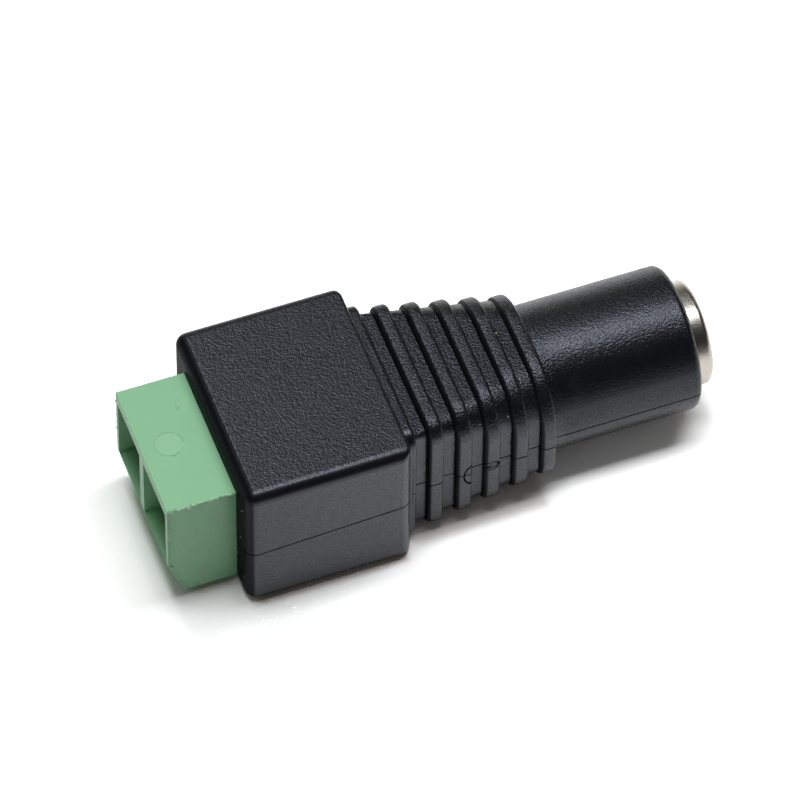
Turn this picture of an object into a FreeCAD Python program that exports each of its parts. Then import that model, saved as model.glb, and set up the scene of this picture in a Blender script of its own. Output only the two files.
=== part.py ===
# Inline power adapter: a coaxial socket on one end and a two-pole screw terminal on the other.
# The black moulding lies on the flat underside of its box, with the terminal's screws below.
# Lengths are in millimetres. X runs from the wire entries to the socket, Z is up.
import FreeCAD, Part
import math
import os
import re
import Sketcher

Vector = FreeCAD.Vector
OUT = "parts"
CLOSE = 0.001

# Driving sizes: name, millimetres, meaning.
DRIVING = [
    ("PolePitch", 5.0, "distance between the two wire entries"),
    ("BlockDepth", 7.6, "green block, front face to back face"),
    ("BlockHeight", 9.1, "green block, underside to top"),
    ("BlockShow", 4.63, "length of green block in front of the shell"),
    ("ChamferRun", 1.1, "chamfer of the underside's front edge, along X"),
    ("ChamferRise", 3.0, "the same chamfer, along Z, up to the entry's floor"),
    ("PartitionWall", 0.75, "wall between the two wire entries"),
    ("EntryDepth", 1.4, "depth of a wire entry in front of its cage"),
    ("RoofWall", 0.8, "block wall over a wire entry"),
    ("MarkRadius", 0.92, "ejector mark on top of the block"),
    ("MarkSetback", 1.9, "ejector mark, distance from the front face"),
    ("MarkDepth", 0.05, "depth of the ejector mark"),
    ("LipHeight", 0.3, "retaining lip at the mouth of a screw hole"),
    ("LipLap", 0.15, "how far that lip reaches over the screw head"),
    ("LedgeThick", 0.5, "web that a screw head turns on"),
    ("HeadRadius", 1.5, "screw head"),
    ("HeadThick", 1.2, "screw head"),
    ("HeadChamfer", 0.15, "edge of the screw head"),
    ("DriveWidth", 0.55, "screwdriver slot"),
    ("DriveDepth", 0.6, "screwdriver slot"),
    ("ShankRadius", 1.25, "screw shank over its thread"),
    ("TipChamfer", 0.3, "end of the screw shank"),
    ("TurnGap", 0.05, "running gap round and over a screw head and shank"),
    ("TipGap", 0.12, "gap between a screw's tip and its contact bar"),
    ("SlideGap", 0.05, "running gap of a cage in its pocket"),
    ("FloorGap", 0.1, "space under a fully clamped cage"),
    ("CageDepth", 3.1, "cage along X"),
    ("CageWall", 0.5, "side wall of a cage"),
    ("CageCap", 0.5, "wall of a cage that presses the wire"),
    ("CageNut", 1.0, "threaded wall of a cage"),
    ("CageRound", 0.3, "folded outer edges of a cage"),
    ("BarSideGap", 0.125, "gap between a bar and its cage's side walls"),
    ("BarThick", 0.7, "contact bar"),
    ("BarGap", 0.1, "gap between a bar and its cage at either end of the travel"),
    ("BarSetback", 0.15, "front end of a bar, behind the cage's front"),
    ("TailWidth", 1.4, "solder tail of a contact bar"),
    ("TailLength", 3.3, "solder tail of a contact bar behind the block"),
    ("BoxLength", 11.22, "shell box along X"),
    ("BoxSide", 2.15, "shell wall beside the green block"),
    ("BoxRoof", 1.7, "shell wall over the green block"),
    ("BoxRound", 0.8, "edges of the shell box"),
    ("BoxRearRound", 0.25, "upper and lower edge of its rear face"),
    ("BoxFloor", 0.5, "shell wall under the green block"),
    ("CollarLength", 0.7, "collar behind the box"),
    ("CollarStep", 1.2, "box wider than the collar, each side"),
    ("CollarDip", 0.4, "top of the collar under the box's top"),
    ("CollarRound", 1.1, "corners of the collar"),
    ("CollarGap", 0.83, "groove between the collar and the first rib"),
    ("RibCount", 5, "ribs on the neck"),
    ("RibWidth", 1.12, "one rib along X"),
    ("RibPitch", 1.96, "distance from rib to rib"),
    ("RibDepth", 0.43, "depth of the grooves between ribs"),
    ("RibEdge", 0.14, "broken edges of ribs and collar"),
    ("RibLift", 0.2, "ribs above the underside of the box"),
    ("FirstRibStep", 0.23, "collar wider than the first rib, each side"),
    ("FirstRibDip", 0.17, "top of the first rib under the collar's top"),
    ("FirstRibRound", 1.4, "upper corners of that rib"),
    ("FirstRibFoot", 1.2, "lower corners of that rib"),
    ("LastRibStep", 0.68, "last rib wider than the nose, each side"),
    ("LastRibRise", 0.22, "top of the last rib over the nose's top"),
    ("LastRibRound", 4.2, "upper corners of that rib"),
    ("LastRibFoot", 3.3, "lower corners of that rib"),
    ("NeckRound", 0.3, "upper corners of the neck at the collar"),
    ("NeckEndRound", 3.4, "upper corners of the neck at the last rib"),
    ("NeckFoot", 0.5, "lower corners of the neck at the collar"),
    ("NeckEndFoot", 2.5, "lower corners of the neck at the last rib"),
    ("NoseWall", 0.75, "wall of the nose round the insulator cup"),
    ("NeckWall", 0.47, "wall under the insulator cup, in the grooves between ribs"),
    ("NoseLength", 10.36, "nose, from the last rib to its end"),
    ("NoseRound", 0.5, "front edge of the nose"),
    ("SleeveReach", 1.3, "sleeve in front of the nose"),
    ("SleeveRadius", 3.5, "outside of the socket sleeve"),
    ("SleeveWall", 0.65, "wall of the socket sleeve"),
    ("SleeveEndGap", 0.4, "sleeve's inner end in front of the cup's base"),
    ("LipRound", 0.4, "rounded outer edge of the sleeve's mouth"),
    ("MouthEdge", 0.2, "chamfer of the sleeve's bore at its mouth"),
    ("FlangeSetback", 5.9, "front of the sleeve's flange, behind the mouth"),
    ("FlangeThick", 0.6, "flange of the sleeve"),
    ("SlitLength", 4.0, "slits that make the sleeve's spring fingers"),
    ("SlitWidth", 0.5, "width of those slits"),
    ("SlitCount", 4, "number of those slits"),
    ("FingerPinch", 0.15, "how far the fingers lean in at their ends"),
    ("SpurThick", 0.6, "solder spur of the sleeve, across Y"),
    ("SpurHeight", 0.72, "solder spur of the sleeve, along Z"),
    ("SpurOffset", 0.15, "inner side of the spur, outside the wire's middle"),
    ("CupWall", 0.6, "wall of the insulator cup round the sleeve"),
    ("CupLength", 8.9, "insulator cup"),
    ("CupBase", 3.0, "base of the insulator cup"),
    ("CupSeat", 1.5, "length on which the cup grips the sleeve"),
    ("CupRelief", 0.1, "room for the fingers to spring outwards"),
    ("PinRadius", 1.0, "centre pin"),
    ("PinRecess", 0.8, "tip of the pin behind the sleeve's mouth"),
    ("PinTip", 0.4, "chamfered tip of the pin"),
    ("PinCollarRadius", 1.6, "collar of the pin on the cup's base"),
    ("PinCollarThick", 0.6, "that collar along X"),
    ("PinTailRadius", 0.7, "tail of the pin through the lug"),
    ("RivetRadius", 1.05, "riveted end of the pin"),
    ("RivetThick", 0.3, "riveted end of the pin"),
    ("LugRadius", 2.0, "disc of the pin's solder lug"),
    ("LugThick", 0.4, "sheet of the solder lug"),
    ("LugWidth", 1.2, "arm and tail of the solder lug"),
    ("LugReach", 3.6, "lug's tail and sleeve's spur behind the cup"),
    ("WireRadius", 0.45, "bare end of a link wire"),
    ("WireSeat", 0.2, "depth of the groove that a wire lies in"),
    ("WireInset", 0.8, "wire end, from the root of the tail that it lies on"),
    ("JacketRadius", 0.8, "insulation of a link wire"),
    ("JacketGap", 0.35, "bare wire between a tail's end and the insulation"),
    ("SolderRadius", 0.64, "fillet of solder round a wire"),
    ("SolderOver", 0.2, "solder past the end of a wire or a tail"),
    ("CoreStep", 0.3, "inner mould wider than the insulator cup, each side"),
    ("CoreRise", 3.6, "inner mould behind the block, over and under the axis"),
    ("CoreLength", 6.5, "inner mould behind the block, along X"),
]

# Places and sizes that follow from the driving ones.
DERIVED = [
    ("BlockWidth", "2 * PolePitch"),
    ("PoleSide", "PolePitch / 2"),
    ("EntryWidth", "PolePitch - PartitionWall"),
    ("BlockTop", "BoxFloor + BlockHeight"),
    ("BoxWidth", "BlockWidth + 2 * BoxSide"),
    ("BoxHeight", "BlockTop + BoxRoof"),
    ("CupRadius", "SleeveRadius + CupWall"),
    ("AxisHeight", "RibLift + RibDepth + NeckWall + CupRadius"),
    ("EntryFloor", "BoxFloor + ChamferRise"),
    ("EntryRoof", "BlockTop - RoofWall"),
    ("HeadFloor", "BoxFloor + LipHeight + TurnGap"),
    ("HeadTop", "HeadFloor + HeadThick"),
    ("PocketFloor", "HeadTop + TurnGap + LedgeThick"),
    ("PocketLength", "CageDepth + 2 * SlideGap"),
    ("ScrewSetback", "EntryDepth + PocketLength / 2"),
    ("LipRadius", "HeadRadius - LipLap"),
    ("Travel", "(EntryRoof - PocketFloor - FloorGap - SlideGap - CageNut - CageCap - BarThick - 2 * BarGap) / 2"),
    ("CageFloor", "PocketFloor + FloorGap + Travel"),
    ("CageTop", "EntryRoof - SlideGap"),
    ("CageHalf", "EntryWidth / 2 - SlideGap"),
    ("CageFront", "EntryDepth + SlideGap"),
    ("BarWidth", "2 * (CageHalf - CageWall - BarSideGap)"),
    ("BarFloor", "CageFloor + CageNut + BarGap"),
    ("BarTop", "BarFloor + BarThick"),
    ("BarFront", "CageFront + BarSetback"),
    ("TailEnd", "BlockDepth + TailLength"),
    ("TipTop", "BarFloor - TipGap"),
    ("BoxEnd", "BlockShow + BoxLength"),
    ("CollarEnd", "BoxEnd + CollarLength"),
    ("CollarHalf", "BoxWidth / 2 - CollarStep"),
    ("CollarTop", "BoxHeight - AxisHeight - CollarDip"),
    ("NoseRadius", "CupRadius + NoseWall"),
    ("FirstRibHalf", "CollarHalf - FirstRibStep"),
    ("FirstRibTop", "CollarTop - FirstRibDip"),
    ("LastRibHalf", "NoseRadius + LastRibStep"),
    ("LastRibTop", "NoseRadius + LastRibRise"),
    ("FirstRib", "CollarEnd + CollarGap"),
    ("LastRib", "FirstRib + (RibCount - 1) * RibPitch"),
    ("NeckEnd", "LastRib + RibWidth"),
    ("RibDrop", "AxisHeight - RibLift"),
    ("NoseEnd", "NeckEnd + NoseLength"),
    ("TotalLength", "NoseEnd + SleeveReach"),
    ("SleeveBore", "SleeveRadius - SleeveWall"),
    ("FlangeFront", "TotalLength - FlangeSetback"),
    ("CupFront", "FlangeFront - FlangeThick"),
    ("CupBack", "CupFront - CupLength"),
    ("CupInside", "CupBack + CupBase"),
    ("SleeveBack", "CupInside + SleeveEndGap"),
    ("SpurEnd", "CupBack - LugReach"),
    ("SpurSide", "PoleSide + SpurOffset"),
    ("PinFront", "TotalLength - PinRecess"),
    ("LugBack", "CupBack - LugThick"),
    ("WireHeight", "BarTop + WireRadius - WireSeat"),
    ("WireStart", "BlockDepth + WireInset"),
    ("WireEnd", "CupBack - LugThick - WireInset"),
    ("CoreHalf", "CupRadius + CoreStep"),
    ("CoreEnd", "BlockDepth + CoreLength"),
]

doc = FreeCAD.newDocument("PowerAdapter")
sheet = doc.addObject("Spreadsheet::Sheet", "Sizes")


def fill_sheet():
    """Write every size into the sheet and give its cell a name."""
    row = 0
    for name, number, meaning in DRIVING:
        row += 1
        sheet.set(f"A{row}", meaning)
        sheet.set(f"B{row}", str(number))
        sheet.setAlias(f"B{row}", name)
    for name, formula in DERIVED:
        row += 1
        sheet.set(f"B{row}", "=" + formula)
        sheet.setAlias(f"B{row}", name)
    doc.recompute()


def size(formula):
    """The number that a formula of sheet names has now."""
    return float(sheet.evalExpression(formula))


def linked(formula):
    """The same formula with the sheet's name before every alias."""
    return re.sub(r"\b[A-Z][A-Za-z]+", lambda word: "Sizes." + word.group(), formula)


def bind(thing, prop, formula):
    thing.setExpression(prop, linked(formula))


def new_body(name):
    """A body whose own X starts at the block's front face, set so that the adapter is centred."""
    body = doc.addObject("PartDesign::Body", name)
    body.Label = name
    bind(body, "Placement.Base.x", "-TotalLength / 2")
    return body


def new_sketch(body, name, plane, along="0", up="0"):
    """A sketch on one of the body's origin planes, moved along its normal and up its own Y."""
    sketch = body.newObject("Sketcher::SketchObject", name)
    support = [face for face in body.Origin.OriginFeatures if face.Role == plane][0]
    sketch.AttachmentSupport = (support, [""])
    sketch.MapMode = "FlatFace"
    bind(sketch, "AttachmentOffset.Base.z", along)
    bind(sketch, "AttachmentOffset.Base.y", up)
    return sketch


def pin_point(sketch, curve, end, x_formula, y_formula):
    """Hold one end of a curve at a place worked out from the sheet."""
    for kind, formula in (("DistanceX", x_formula), ("DistanceY", y_formula)):
        number = size(formula)
        place = sketch.addConstraint(Sketcher.Constraint(kind, curve, end, number))
        bind(sketch, f"Constraints[{place}]", formula)


def add_outline(sketch, corners):
    """A closed outline of straight lines through corners given as two formulas each."""
    first = sketch.GeometryCount
    places = [Vector(size(x), size(y), 0) for x, y in corners]
    count = len(corners)
    for number in range(count):
        line = Part.LineSegment(places[number], places[(number + 1) % count])
        sketch.addGeometry(line, False)
    for number in range(count):
        following = first + (number + 1) % count
        sketch.addConstraint(Sketcher.Constraint("Coincident", first + number, 2, following, 1))
        pin_point(sketch, first + number, 1, *corners[number])


def add_rectangle(sketch, left, right, low, high):
    add_outline(sketch, [(left, low), (right, low), (right, high), (left, high)])


def add_rounded_rectangle(sketch, half, low, high, corner, foot):
    """A rectangle about the sketch's Y axis whose upper and lower corners are rounded."""
    arms = [
        (f"{half} - ({foot})", low, f"{half} - ({foot})", f"{low} + {foot}", -90),
        (half, f"{high} - ({corner})", f"{half} - ({corner})", f"{high} - ({corner})", 0),
        (f"{corner} - ({half})", high, f"{corner} - ({half})", f"{high} - ({corner})", 90),
        (f"-({half})", f"{low} + {foot}", f"{foot} - ({half})", f"{low} + {foot}", 180),
    ]
    ends = [
        (half, f"{low} + {foot}"),
        (f"{half} - ({corner})", high),
        (f"-({half})", f"{high} - ({corner})"),
        (f"{foot} - ({half})", low),
    ]
    rounds = [foot, corner, corner, foot]
    for number, (x, y, centre_x, centre_y, start) in enumerate(arms):
        centre = Vector(size(centre_x), size(centre_y), 0)
        circle = Part.Circle(centre, Vector(0, 0, 1), size(rounds[number]))
        sketch.addGeometry(Part.ArcOfCircle(circle, math.radians(start), math.radians(start + 90)), False)
        following = arms[(number + 1) % len(arms)]
        end = Vector(size(ends[number][0]), size(ends[number][1]), 0)
        sketch.addGeometry(Part.LineSegment(end, Vector(size(following[0]), size(following[1]), 0)), False)
    for number, (x, y, centre_x, centre_y, start) in enumerate(arms):
        arc = 2 * number
        line = arc + 1
        next_arc = (arc + 2) % (2 * len(arms))
        sketch.addConstraint(Sketcher.Constraint("Coincident", arc, 2, line, 1))
        sketch.addConstraint(Sketcher.Constraint("Coincident", line, 2, next_arc, 1))
        pin_point(sketch, arc, 1, x, y)
        pin_point(sketch, line, 1, *ends[number])
        bend = sketch.addConstraint(Sketcher.Constraint("Radius", arc, size(rounds[number])))
        bind(sketch, f"Constraints[{bend}]", rounds[number])


def add_circle(sketch, x, y, radius):
    circle = Part.Circle(Vector(size(x), size(y), 0), Vector(0, 0, 1), size(radius))
    curve = sketch.addGeometry(circle, False)
    pin_point(sketch, curve, 3, x, y)
    bend = sketch.addConstraint(Sketcher.Constraint("Radius", curve, size(radius)))
    bind(sketch, f"Constraints[{bend}]", radius)


def pad(body, name, sketch, length, both_ways=False):
    """Material over a sketch, along its normal or half each way."""
    feature = body.newObject("PartDesign::Pad", name)
    feature.Profile = sketch
    bind(feature, "Length", length)
    if both_ways:
        feature.SideType = "Symmetric"
    return feature


def pocket(body, name, sketch, length, with_normal=True):
    """A hole under a sketch. A pocket cuts against the sketch's normal unless it is reversed."""
    feature = body.newObject("PartDesign::Pocket", name)
    feature.Profile = sketch
    feature.Reversed = with_normal
    bind(feature, "Length", length)
    return feature


def turn(body, name, sketch, cut=False):
    """A full turn of a sketch about its own X axis, added or cut away."""
    feature = body.newObject("PartDesign::Groove" if cut else "PartDesign::Revolution", name)
    feature.Profile = sketch
    feature.ReferenceAxis = (sketch, ["H_Axis"])
    feature.Angle = 360
    return feature


def mirror(body, name, originals):
    """The same features on the other side of the XZ plane."""
    feature = body.newObject("PartDesign::Mirrored", name)
    plane = [face for face in body.Origin.OriginFeatures if face.Role == "XZ_Plane"][0]
    feature.Originals = originals
    feature.MirrorPlane = (plane, [""])
    body.Tip = feature
    return feature


def edges_where(feature, test):
    """Names of a feature's edges whose box passes a test."""
    doc.recompute()
    names = []
    for number, edge in enumerate(feature.Shape.Edges):
        if test(edge.BoundBox):
            names.append(f"Edge{number + 1}")
    if not names:
        raise RuntimeError(f"{feature.Name} has no edge to round there")
    return names


def near(first, second):
    return abs(first - second) < CLOSE


def in_plane(box, x):
    """True for an edge that lies in the plane at x."""
    return near(box.XMin, x) and near(box.XMax, x)


def fillet(body, name, feature, edges, radius):
    rounded = body.newObject("PartDesign::Fillet", name)
    rounded.Base = (feature, edges)
    bind(rounded, "Radius", radius)
    return rounded


def chamfer(body, name, feature, edges, width):
    cut = body.newObject("PartDesign::Chamfer", name)
    cut.Base = (feature, edges)
    bind(cut, "Size", width)
    return cut


def section_of_rib(number):
    """Half width, rise, upper and lower corner of a rib, from the first rib's to the last one's."""
    share = f"{number} / (RibCount - 1)"
    half = f"(FirstRibHalf + (LastRibHalf - FirstRibHalf) * {share})"
    top = f"(FirstRibTop + (LastRibTop - FirstRibTop) * {share})"
    corner = f"(FirstRibRound + (LastRibRound - FirstRibRound) * {share})"
    foot = f"(FirstRibFoot + (LastRibFoot - FirstRibFoot) * {share})"
    return half, top, corner, foot


def make_shell():
    """The black moulding: box, collar, ribbed neck and nose, hollow where its insides lie."""
    body = new_body("shell")
    outline = new_sketch(body, "BoxOutline", "YZ_Plane", "BlockShow")
    add_rectangle(outline, "-BoxWidth / 2", "BoxWidth / 2", "0", "BoxHeight")
    box = pad(body, "Box", outline, "BoxLength")
    rear = size("BoxEnd")
    box_edges = edges_where(box, lambda edge: not in_plane(edge, rear) or edge.ZLength > CLOSE)
    rounded_box = fillet(body, "BoxEdges", box, box_edges, "BoxRound")
    rear_edges = edges_where(rounded_box, lambda edge: in_plane(edge, rear) and edge.ZLength < CLOSE)
    fillet(body, "BoxRearEdges", rounded_box, rear_edges, "BoxRearRound")

    neck_start = new_sketch(body, "NeckStart", "YZ_Plane", "CollarEnd - RibEdge", "AxisHeight")
    add_rounded_rectangle(neck_start, "(FirstRibHalf - RibDepth)", "(RibDepth - RibDrop)",
                          "(FirstRibTop - RibDepth)", "NeckRound", "NeckFoot")
    neck_end = new_sketch(body, "NeckEnd", "YZ_Plane", "NeckEnd - RibWidth / 2", "AxisHeight")
    add_rounded_rectangle(neck_end, "(LastRibHalf - RibDepth)", "(RibDepth - RibDrop)",
                          "(LastRibTop - RibDepth)", "NeckEndRound", "NeckEndFoot")
    neck = body.newObject("PartDesign::AdditiveLoft", "Neck")
    neck.Profile = neck_start
    neck.Sections = [neck_end]
    neck.Ruled = True

    collar_outline = new_sketch(body, "CollarOutline", "YZ_Plane", "BoxEnd - BoxRound", "AxisHeight")
    add_rounded_rectangle(collar_outline, "CollarHalf", "(-RibDrop)", "CollarTop", "CollarRound", "CollarRound")
    last = pad(body, "Collar", collar_outline, "BoxRound + CollarLength")
    low = size("RibLift")
    rims = [(size("CollarEnd"), size("CollarHalf"), size("AxisHeight + CollarTop"), low)]
    for number in range(int(size("RibCount"))):
        half, top, corner, foot = section_of_rib(number)
        rib_start = f"FirstRib + {number} * RibPitch"
        rib_outline = new_sketch(body, f"RibOutline{number + 1}", "YZ_Plane", rib_start, "AxisHeight")
        add_rounded_rectangle(rib_outline, half, "(-RibDrop)", top, corner, foot)
        last = pad(body, f"Rib{number + 1}", rib_outline, "RibWidth")
        for rim in (rib_start, f"{rib_start} + RibWidth"):
            rims.append((size(rim), size(half), size(f"AxisHeight + {top}"), low))

    nose_outline = new_sketch(body, "NoseOutline", "XZ_Plane", "0", "AxisHeight")
    add_rectangle(nose_outline, "LastRib", "NoseEnd", "0", "NoseRadius")
    nose = turn(body, "Nose", nose_outline)

    def outer_rim(edge):
        reach = max(abs(edge.YMin), abs(edge.YMax))
        return any(
            in_plane(edge, x) and (near(reach, half) or near(edge.ZMax, top) or near(edge.ZMin, low))
            for x, half, top, low in rims
        )

    rib_edges = edges_where(nose, outer_rim)
    broken_ribs = chamfer(body, "RibEdges", nose, rib_edges, "RibEdge")
    nose_edges = edges_where(broken_ribs, lambda edge: in_plane(edge, size("NoseEnd")))
    fillet(body, "NoseEdge", broken_ribs, nose_edges, "NoseRound")

    block_outline = new_sketch(body, "BlockPocketOutline", "YZ_Plane", "BlockShow")
    add_rectangle(block_outline, "-BlockWidth / 2", "BlockWidth / 2", "BoxFloor", "BlockTop")
    pocket(body, "BlockPocket", block_outline, "BlockDepth - BlockShow")
    core_outline = new_sketch(body, "CorePocketOutline", "YZ_Plane", "BlockDepth", "AxisHeight")
    add_rectangle(core_outline, "-CoreHalf", "CoreHalf", "-CoreRise", "CoreRise")
    pocket(body, "CorePocket", core_outline, "CoreLength")
    bore_outline = new_sketch(body, "BoreOutline", "XZ_Plane", "0", "AxisHeight")
    add_outline(bore_outline, [
        ("CoreEnd", "0"),
        ("TotalLength", "0"),
        ("TotalLength", "SleeveRadius"),
        ("FlangeFront", "SleeveRadius"),
        ("FlangeFront", "CupRadius"),
        ("CoreEnd", "CupRadius"),
    ])
    turn(body, "Bore", bore_outline, cut=True)
    return body


def make_block():
    """The green housing, with wire entries, cage pockets, bar slots and screw holes."""
    body = new_body("terminal_block")
    side = new_sketch(body, "SideOutline", "XZ_Plane")
    add_outline(side, [
        ("0", "EntryFloor"),
        ("ChamferRun", "BoxFloor"),
        ("BlockDepth", "BoxFloor"),
        ("BlockDepth", "BlockTop"),
        ("0", "BlockTop"),
    ])
    pad(body, "Housing", side, "BlockWidth", both_ways=True)

    left = "PoleSide - EntryWidth / 2"
    right = "PoleSide + EntryWidth / 2"
    entry_outline = new_sketch(body, "EntryOutline", "YZ_Plane")
    add_rectangle(entry_outline, left, right, "EntryFloor", "EntryRoof")
    entry = pocket(body, "Entry", entry_outline, "EntryDepth")
    cage_outline = new_sketch(body, "CagePocketOutline", "YZ_Plane", "EntryDepth")
    add_rectangle(cage_outline, left, right, "PocketFloor", "EntryRoof")
    cage_pocket = pocket(body, "CagePocket", cage_outline, "PocketLength")
    slot_outline = new_sketch(body, "BarSlotOutline", "YZ_Plane", "EntryDepth + PocketLength")
    add_rectangle(slot_outline, "PoleSide - BarWidth / 2", "PoleSide + BarWidth / 2", "BarFloor", "BarTop")
    slot = pocket(body, "BarSlot", slot_outline, "BlockDepth - EntryDepth - PocketLength")
    mouth_outline = new_sketch(body, "ScrewMouthOutline", "XY_Plane", "BoxFloor")
    add_circle(mouth_outline, "ScrewSetback", "PoleSide", "LipRadius")
    mouth = pocket(body, "ScrewMouth", mouth_outline, "LipHeight")
    seat_outline = new_sketch(body, "HeadRecessOutline", "XY_Plane", "BoxFloor + LipHeight")
    add_circle(seat_outline, "ScrewSetback", "PoleSide", "HeadRadius + TurnGap")
    seat = pocket(body, "HeadRecess", seat_outline, "HeadThick + 2 * TurnGap")
    shank_outline = new_sketch(body, "ShankHoleOutline", "XY_Plane", "HeadTop + TurnGap")
    add_circle(shank_outline, "ScrewSetback", "PoleSide", "ShankRadius + TurnGap")
    shank = pocket(body, "ShankHole", shank_outline, "LedgeThick")
    mirror(body, "OtherPole", [entry, cage_pocket, slot, mouth, seat, shank])

    mark_outline = new_sketch(body, "MarkOutline", "XY_Plane", "BlockTop")
    add_circle(mark_outline, "MarkSetback", "0", "MarkRadius")
    body.Tip = pocket(body, "EjectorMark", mark_outline, "MarkDepth", with_normal=False)
    return body


def make_cage(side, sign):
    """A folded clamp cage with a hole for its screw, in its open place."""
    body = new_body(f"clamp_cage_{side}")
    pole = f"{sign} * PoleSide"
    outline = new_sketch(body, f"CageOutline_{side}", "YZ_Plane", "CageFront")
    add_rectangle(outline, f"{pole} - CageHalf", f"{pole} + CageHalf", "CageFloor", "CageTop")
    block = pad(body, f"CageBlock_{side}", outline, "CageDepth")
    folds = edges_where(block, lambda edge: edge.XLength > size("CageDepth") / 2)
    folded = fillet(body, f"CageFolds_{side}", block, folds, "CageRound")
    window_outline = new_sketch(body, f"WindowOutline_{side}", "YZ_Plane", "CageFront")
    add_rectangle(window_outline, f"{pole} - CageHalf + CageWall", f"{pole} + CageHalf - CageWall",
                  "CageFloor + CageNut", "CageTop - CageCap")
    pocket(body, f"Window_{side}", window_outline, "CageDepth")
    hole_outline = new_sketch(body, f"ThreadOutline_{side}", "XY_Plane", "CageFloor")
    add_circle(hole_outline, "ScrewSetback", pole, "ShankRadius + TurnGap")
    pocket(body, f"ThreadHole_{side}", hole_outline, "CageNut")
    return body


def make_screw(side, sign):
    """A captive screw, head down, with a slot for the driver."""
    body = new_body(f"clamp_screw_{side}")
    pole = f"{sign} * PoleSide"
    head_outline = new_sketch(body, f"HeadOutline_{side}", "XY_Plane", "HeadFloor")
    add_circle(head_outline, "ScrewSetback", pole, "HeadRadius")
    head = pad(body, f"Head_{side}", head_outline, "HeadThick")
    low_edge = edges_where(head, lambda edge: edge.ZMax < size("HeadFloor") + CLOSE)
    chamfer(body, f"HeadEdge_{side}", head, low_edge, "HeadChamfer")
    shank_outline = new_sketch(body, f"ShankOutline_{side}", "XY_Plane", "HeadTop")
    add_circle(shank_outline, "ScrewSetback", pole, "ShankRadius")
    shank = pad(body, f"Shank_{side}", shank_outline, "TipTop - HeadTop")
    tip_edge = edges_where(shank, lambda edge: edge.ZMin > size("TipTop") - CLOSE)
    chamfer(body, f"Tip_{side}", shank, tip_edge, "TipChamfer")
    drive_outline = new_sketch(body, f"DriveOutline_{side}", "XY_Plane", "HeadFloor")
    add_rectangle(drive_outline, "ScrewSetback - HeadRadius", "ScrewSetback + HeadRadius",
                  f"{pole} - DriveWidth / 2", f"{pole} + DriveWidth / 2")
    pocket(body, f"Drive_{side}", drive_outline, "DriveDepth")
    return body


def make_bar(side, sign):
    """A contact bar: wide in the cage and the block, narrow behind as a solder tail."""
    body = new_body(f"contact_bar_{side}")
    pole = f"{sign} * PoleSide"
    outline = new_sketch(body, f"BarOutline_{side}", "XY_Plane", "BarFloor")
    add_outline(outline, [
        ("BarFront", f"{pole} - BarWidth / 2"),
        ("BlockDepth", f"{pole} - BarWidth / 2"),
        ("BlockDepth", f"{pole} - TailWidth / 2"),
        ("TailEnd", f"{pole} - TailWidth / 2"),
        ("TailEnd", f"{pole} + TailWidth / 2"),
        ("BlockDepth", f"{pole} + TailWidth / 2"),
        ("BlockDepth", f"{pole} + BarWidth / 2"),
        ("BarFront", f"{pole} + BarWidth / 2"),
    ])
    pad(body, f"Bar_{side}", outline, "BarThick")
    groove_outline = new_sketch(body, f"WireGrooveOutline_{side}", "YZ_Plane", "WireStart")
    add_circle(groove_outline, pole, "WireHeight", "WireRadius")
    pocket(body, f"WireGroove_{side}", groove_outline, "TailEnd - WireStart")
    return body


def make_sleeve():
    """The socket's outer contact: mouth, flange, four spring fingers and a solder spur."""
    body = new_body("jack_sleeve")
    outline = new_sketch(body, "SleeveOutline", "XZ_Plane", "0", "AxisHeight")
    add_outline(outline, [
        ("SleeveBack", "SleeveBore - FingerPinch"),
        ("SleeveBack + SlitLength", "SleeveBore"),
        ("TotalLength", "SleeveBore"),
        ("TotalLength", "SleeveRadius"),
        ("FlangeFront", "SleeveRadius"),
        ("FlangeFront", "CupRadius"),
        ("CupFront", "CupRadius"),
        ("CupFront", "SleeveRadius"),
        ("SleeveBack + SlitLength", "SleeveRadius"),
        ("SleeveBack", "SleeveRadius - FingerPinch"),
    ])
    tube = turn(body, "Tube", outline)
    rim = edges_where(tube, lambda edge: in_plane(edge, size("TotalLength"))
                      and edge.YMax > size("SleeveRadius") - CLOSE)
    lip = fillet(body, "Lip", tube, rim, "LipRound")
    mouth = edges_where(lip, lambda edge: in_plane(edge, size("TotalLength"))
                        and edge.YMax < size("SleeveBore") + CLOSE)
    chamfer(body, "Mouth", lip, mouth, "MouthEdge")
    slit_outline = new_sketch(body, "SlitOutline", "XZ_Plane", "0", "AxisHeight")
    add_rectangle(slit_outline, "SleeveBack", "SleeveBack + SlitLength", "0", "CupRadius")
    slit = pocket(body, "Slit", slit_outline, "SlitWidth")
    slit.SideType = "Symmetric"
    slits = body.newObject("PartDesign::PolarPattern", "Slits")
    slits.Originals = [slit]
    slits.Axis = (slit_outline, ["H_Axis"])
    slits.Angle = 360
    bind(slits, "Occurrences", "SlitCount")
    body.Tip = slits
    spur_outline = new_sketch(body, "SpurOutline", "YZ_Plane", "SpurEnd")
    add_rectangle(spur_outline, "-SpurSide - SpurThick", "-SpurSide", "BarTop - SpurHeight", "BarTop")
    pad(body, "Spur", spur_outline, "SleeveBack - SpurEnd")
    groove_outline = new_sketch(body, "SpurGrooveOutline", "YZ_Plane", "SpurEnd")
    add_circle(groove_outline, "-PoleSide", "WireHeight", "WireRadius")
    body.Tip = pocket(body, "SpurGroove", groove_outline, "WireEnd - SpurEnd")
    return body


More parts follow.
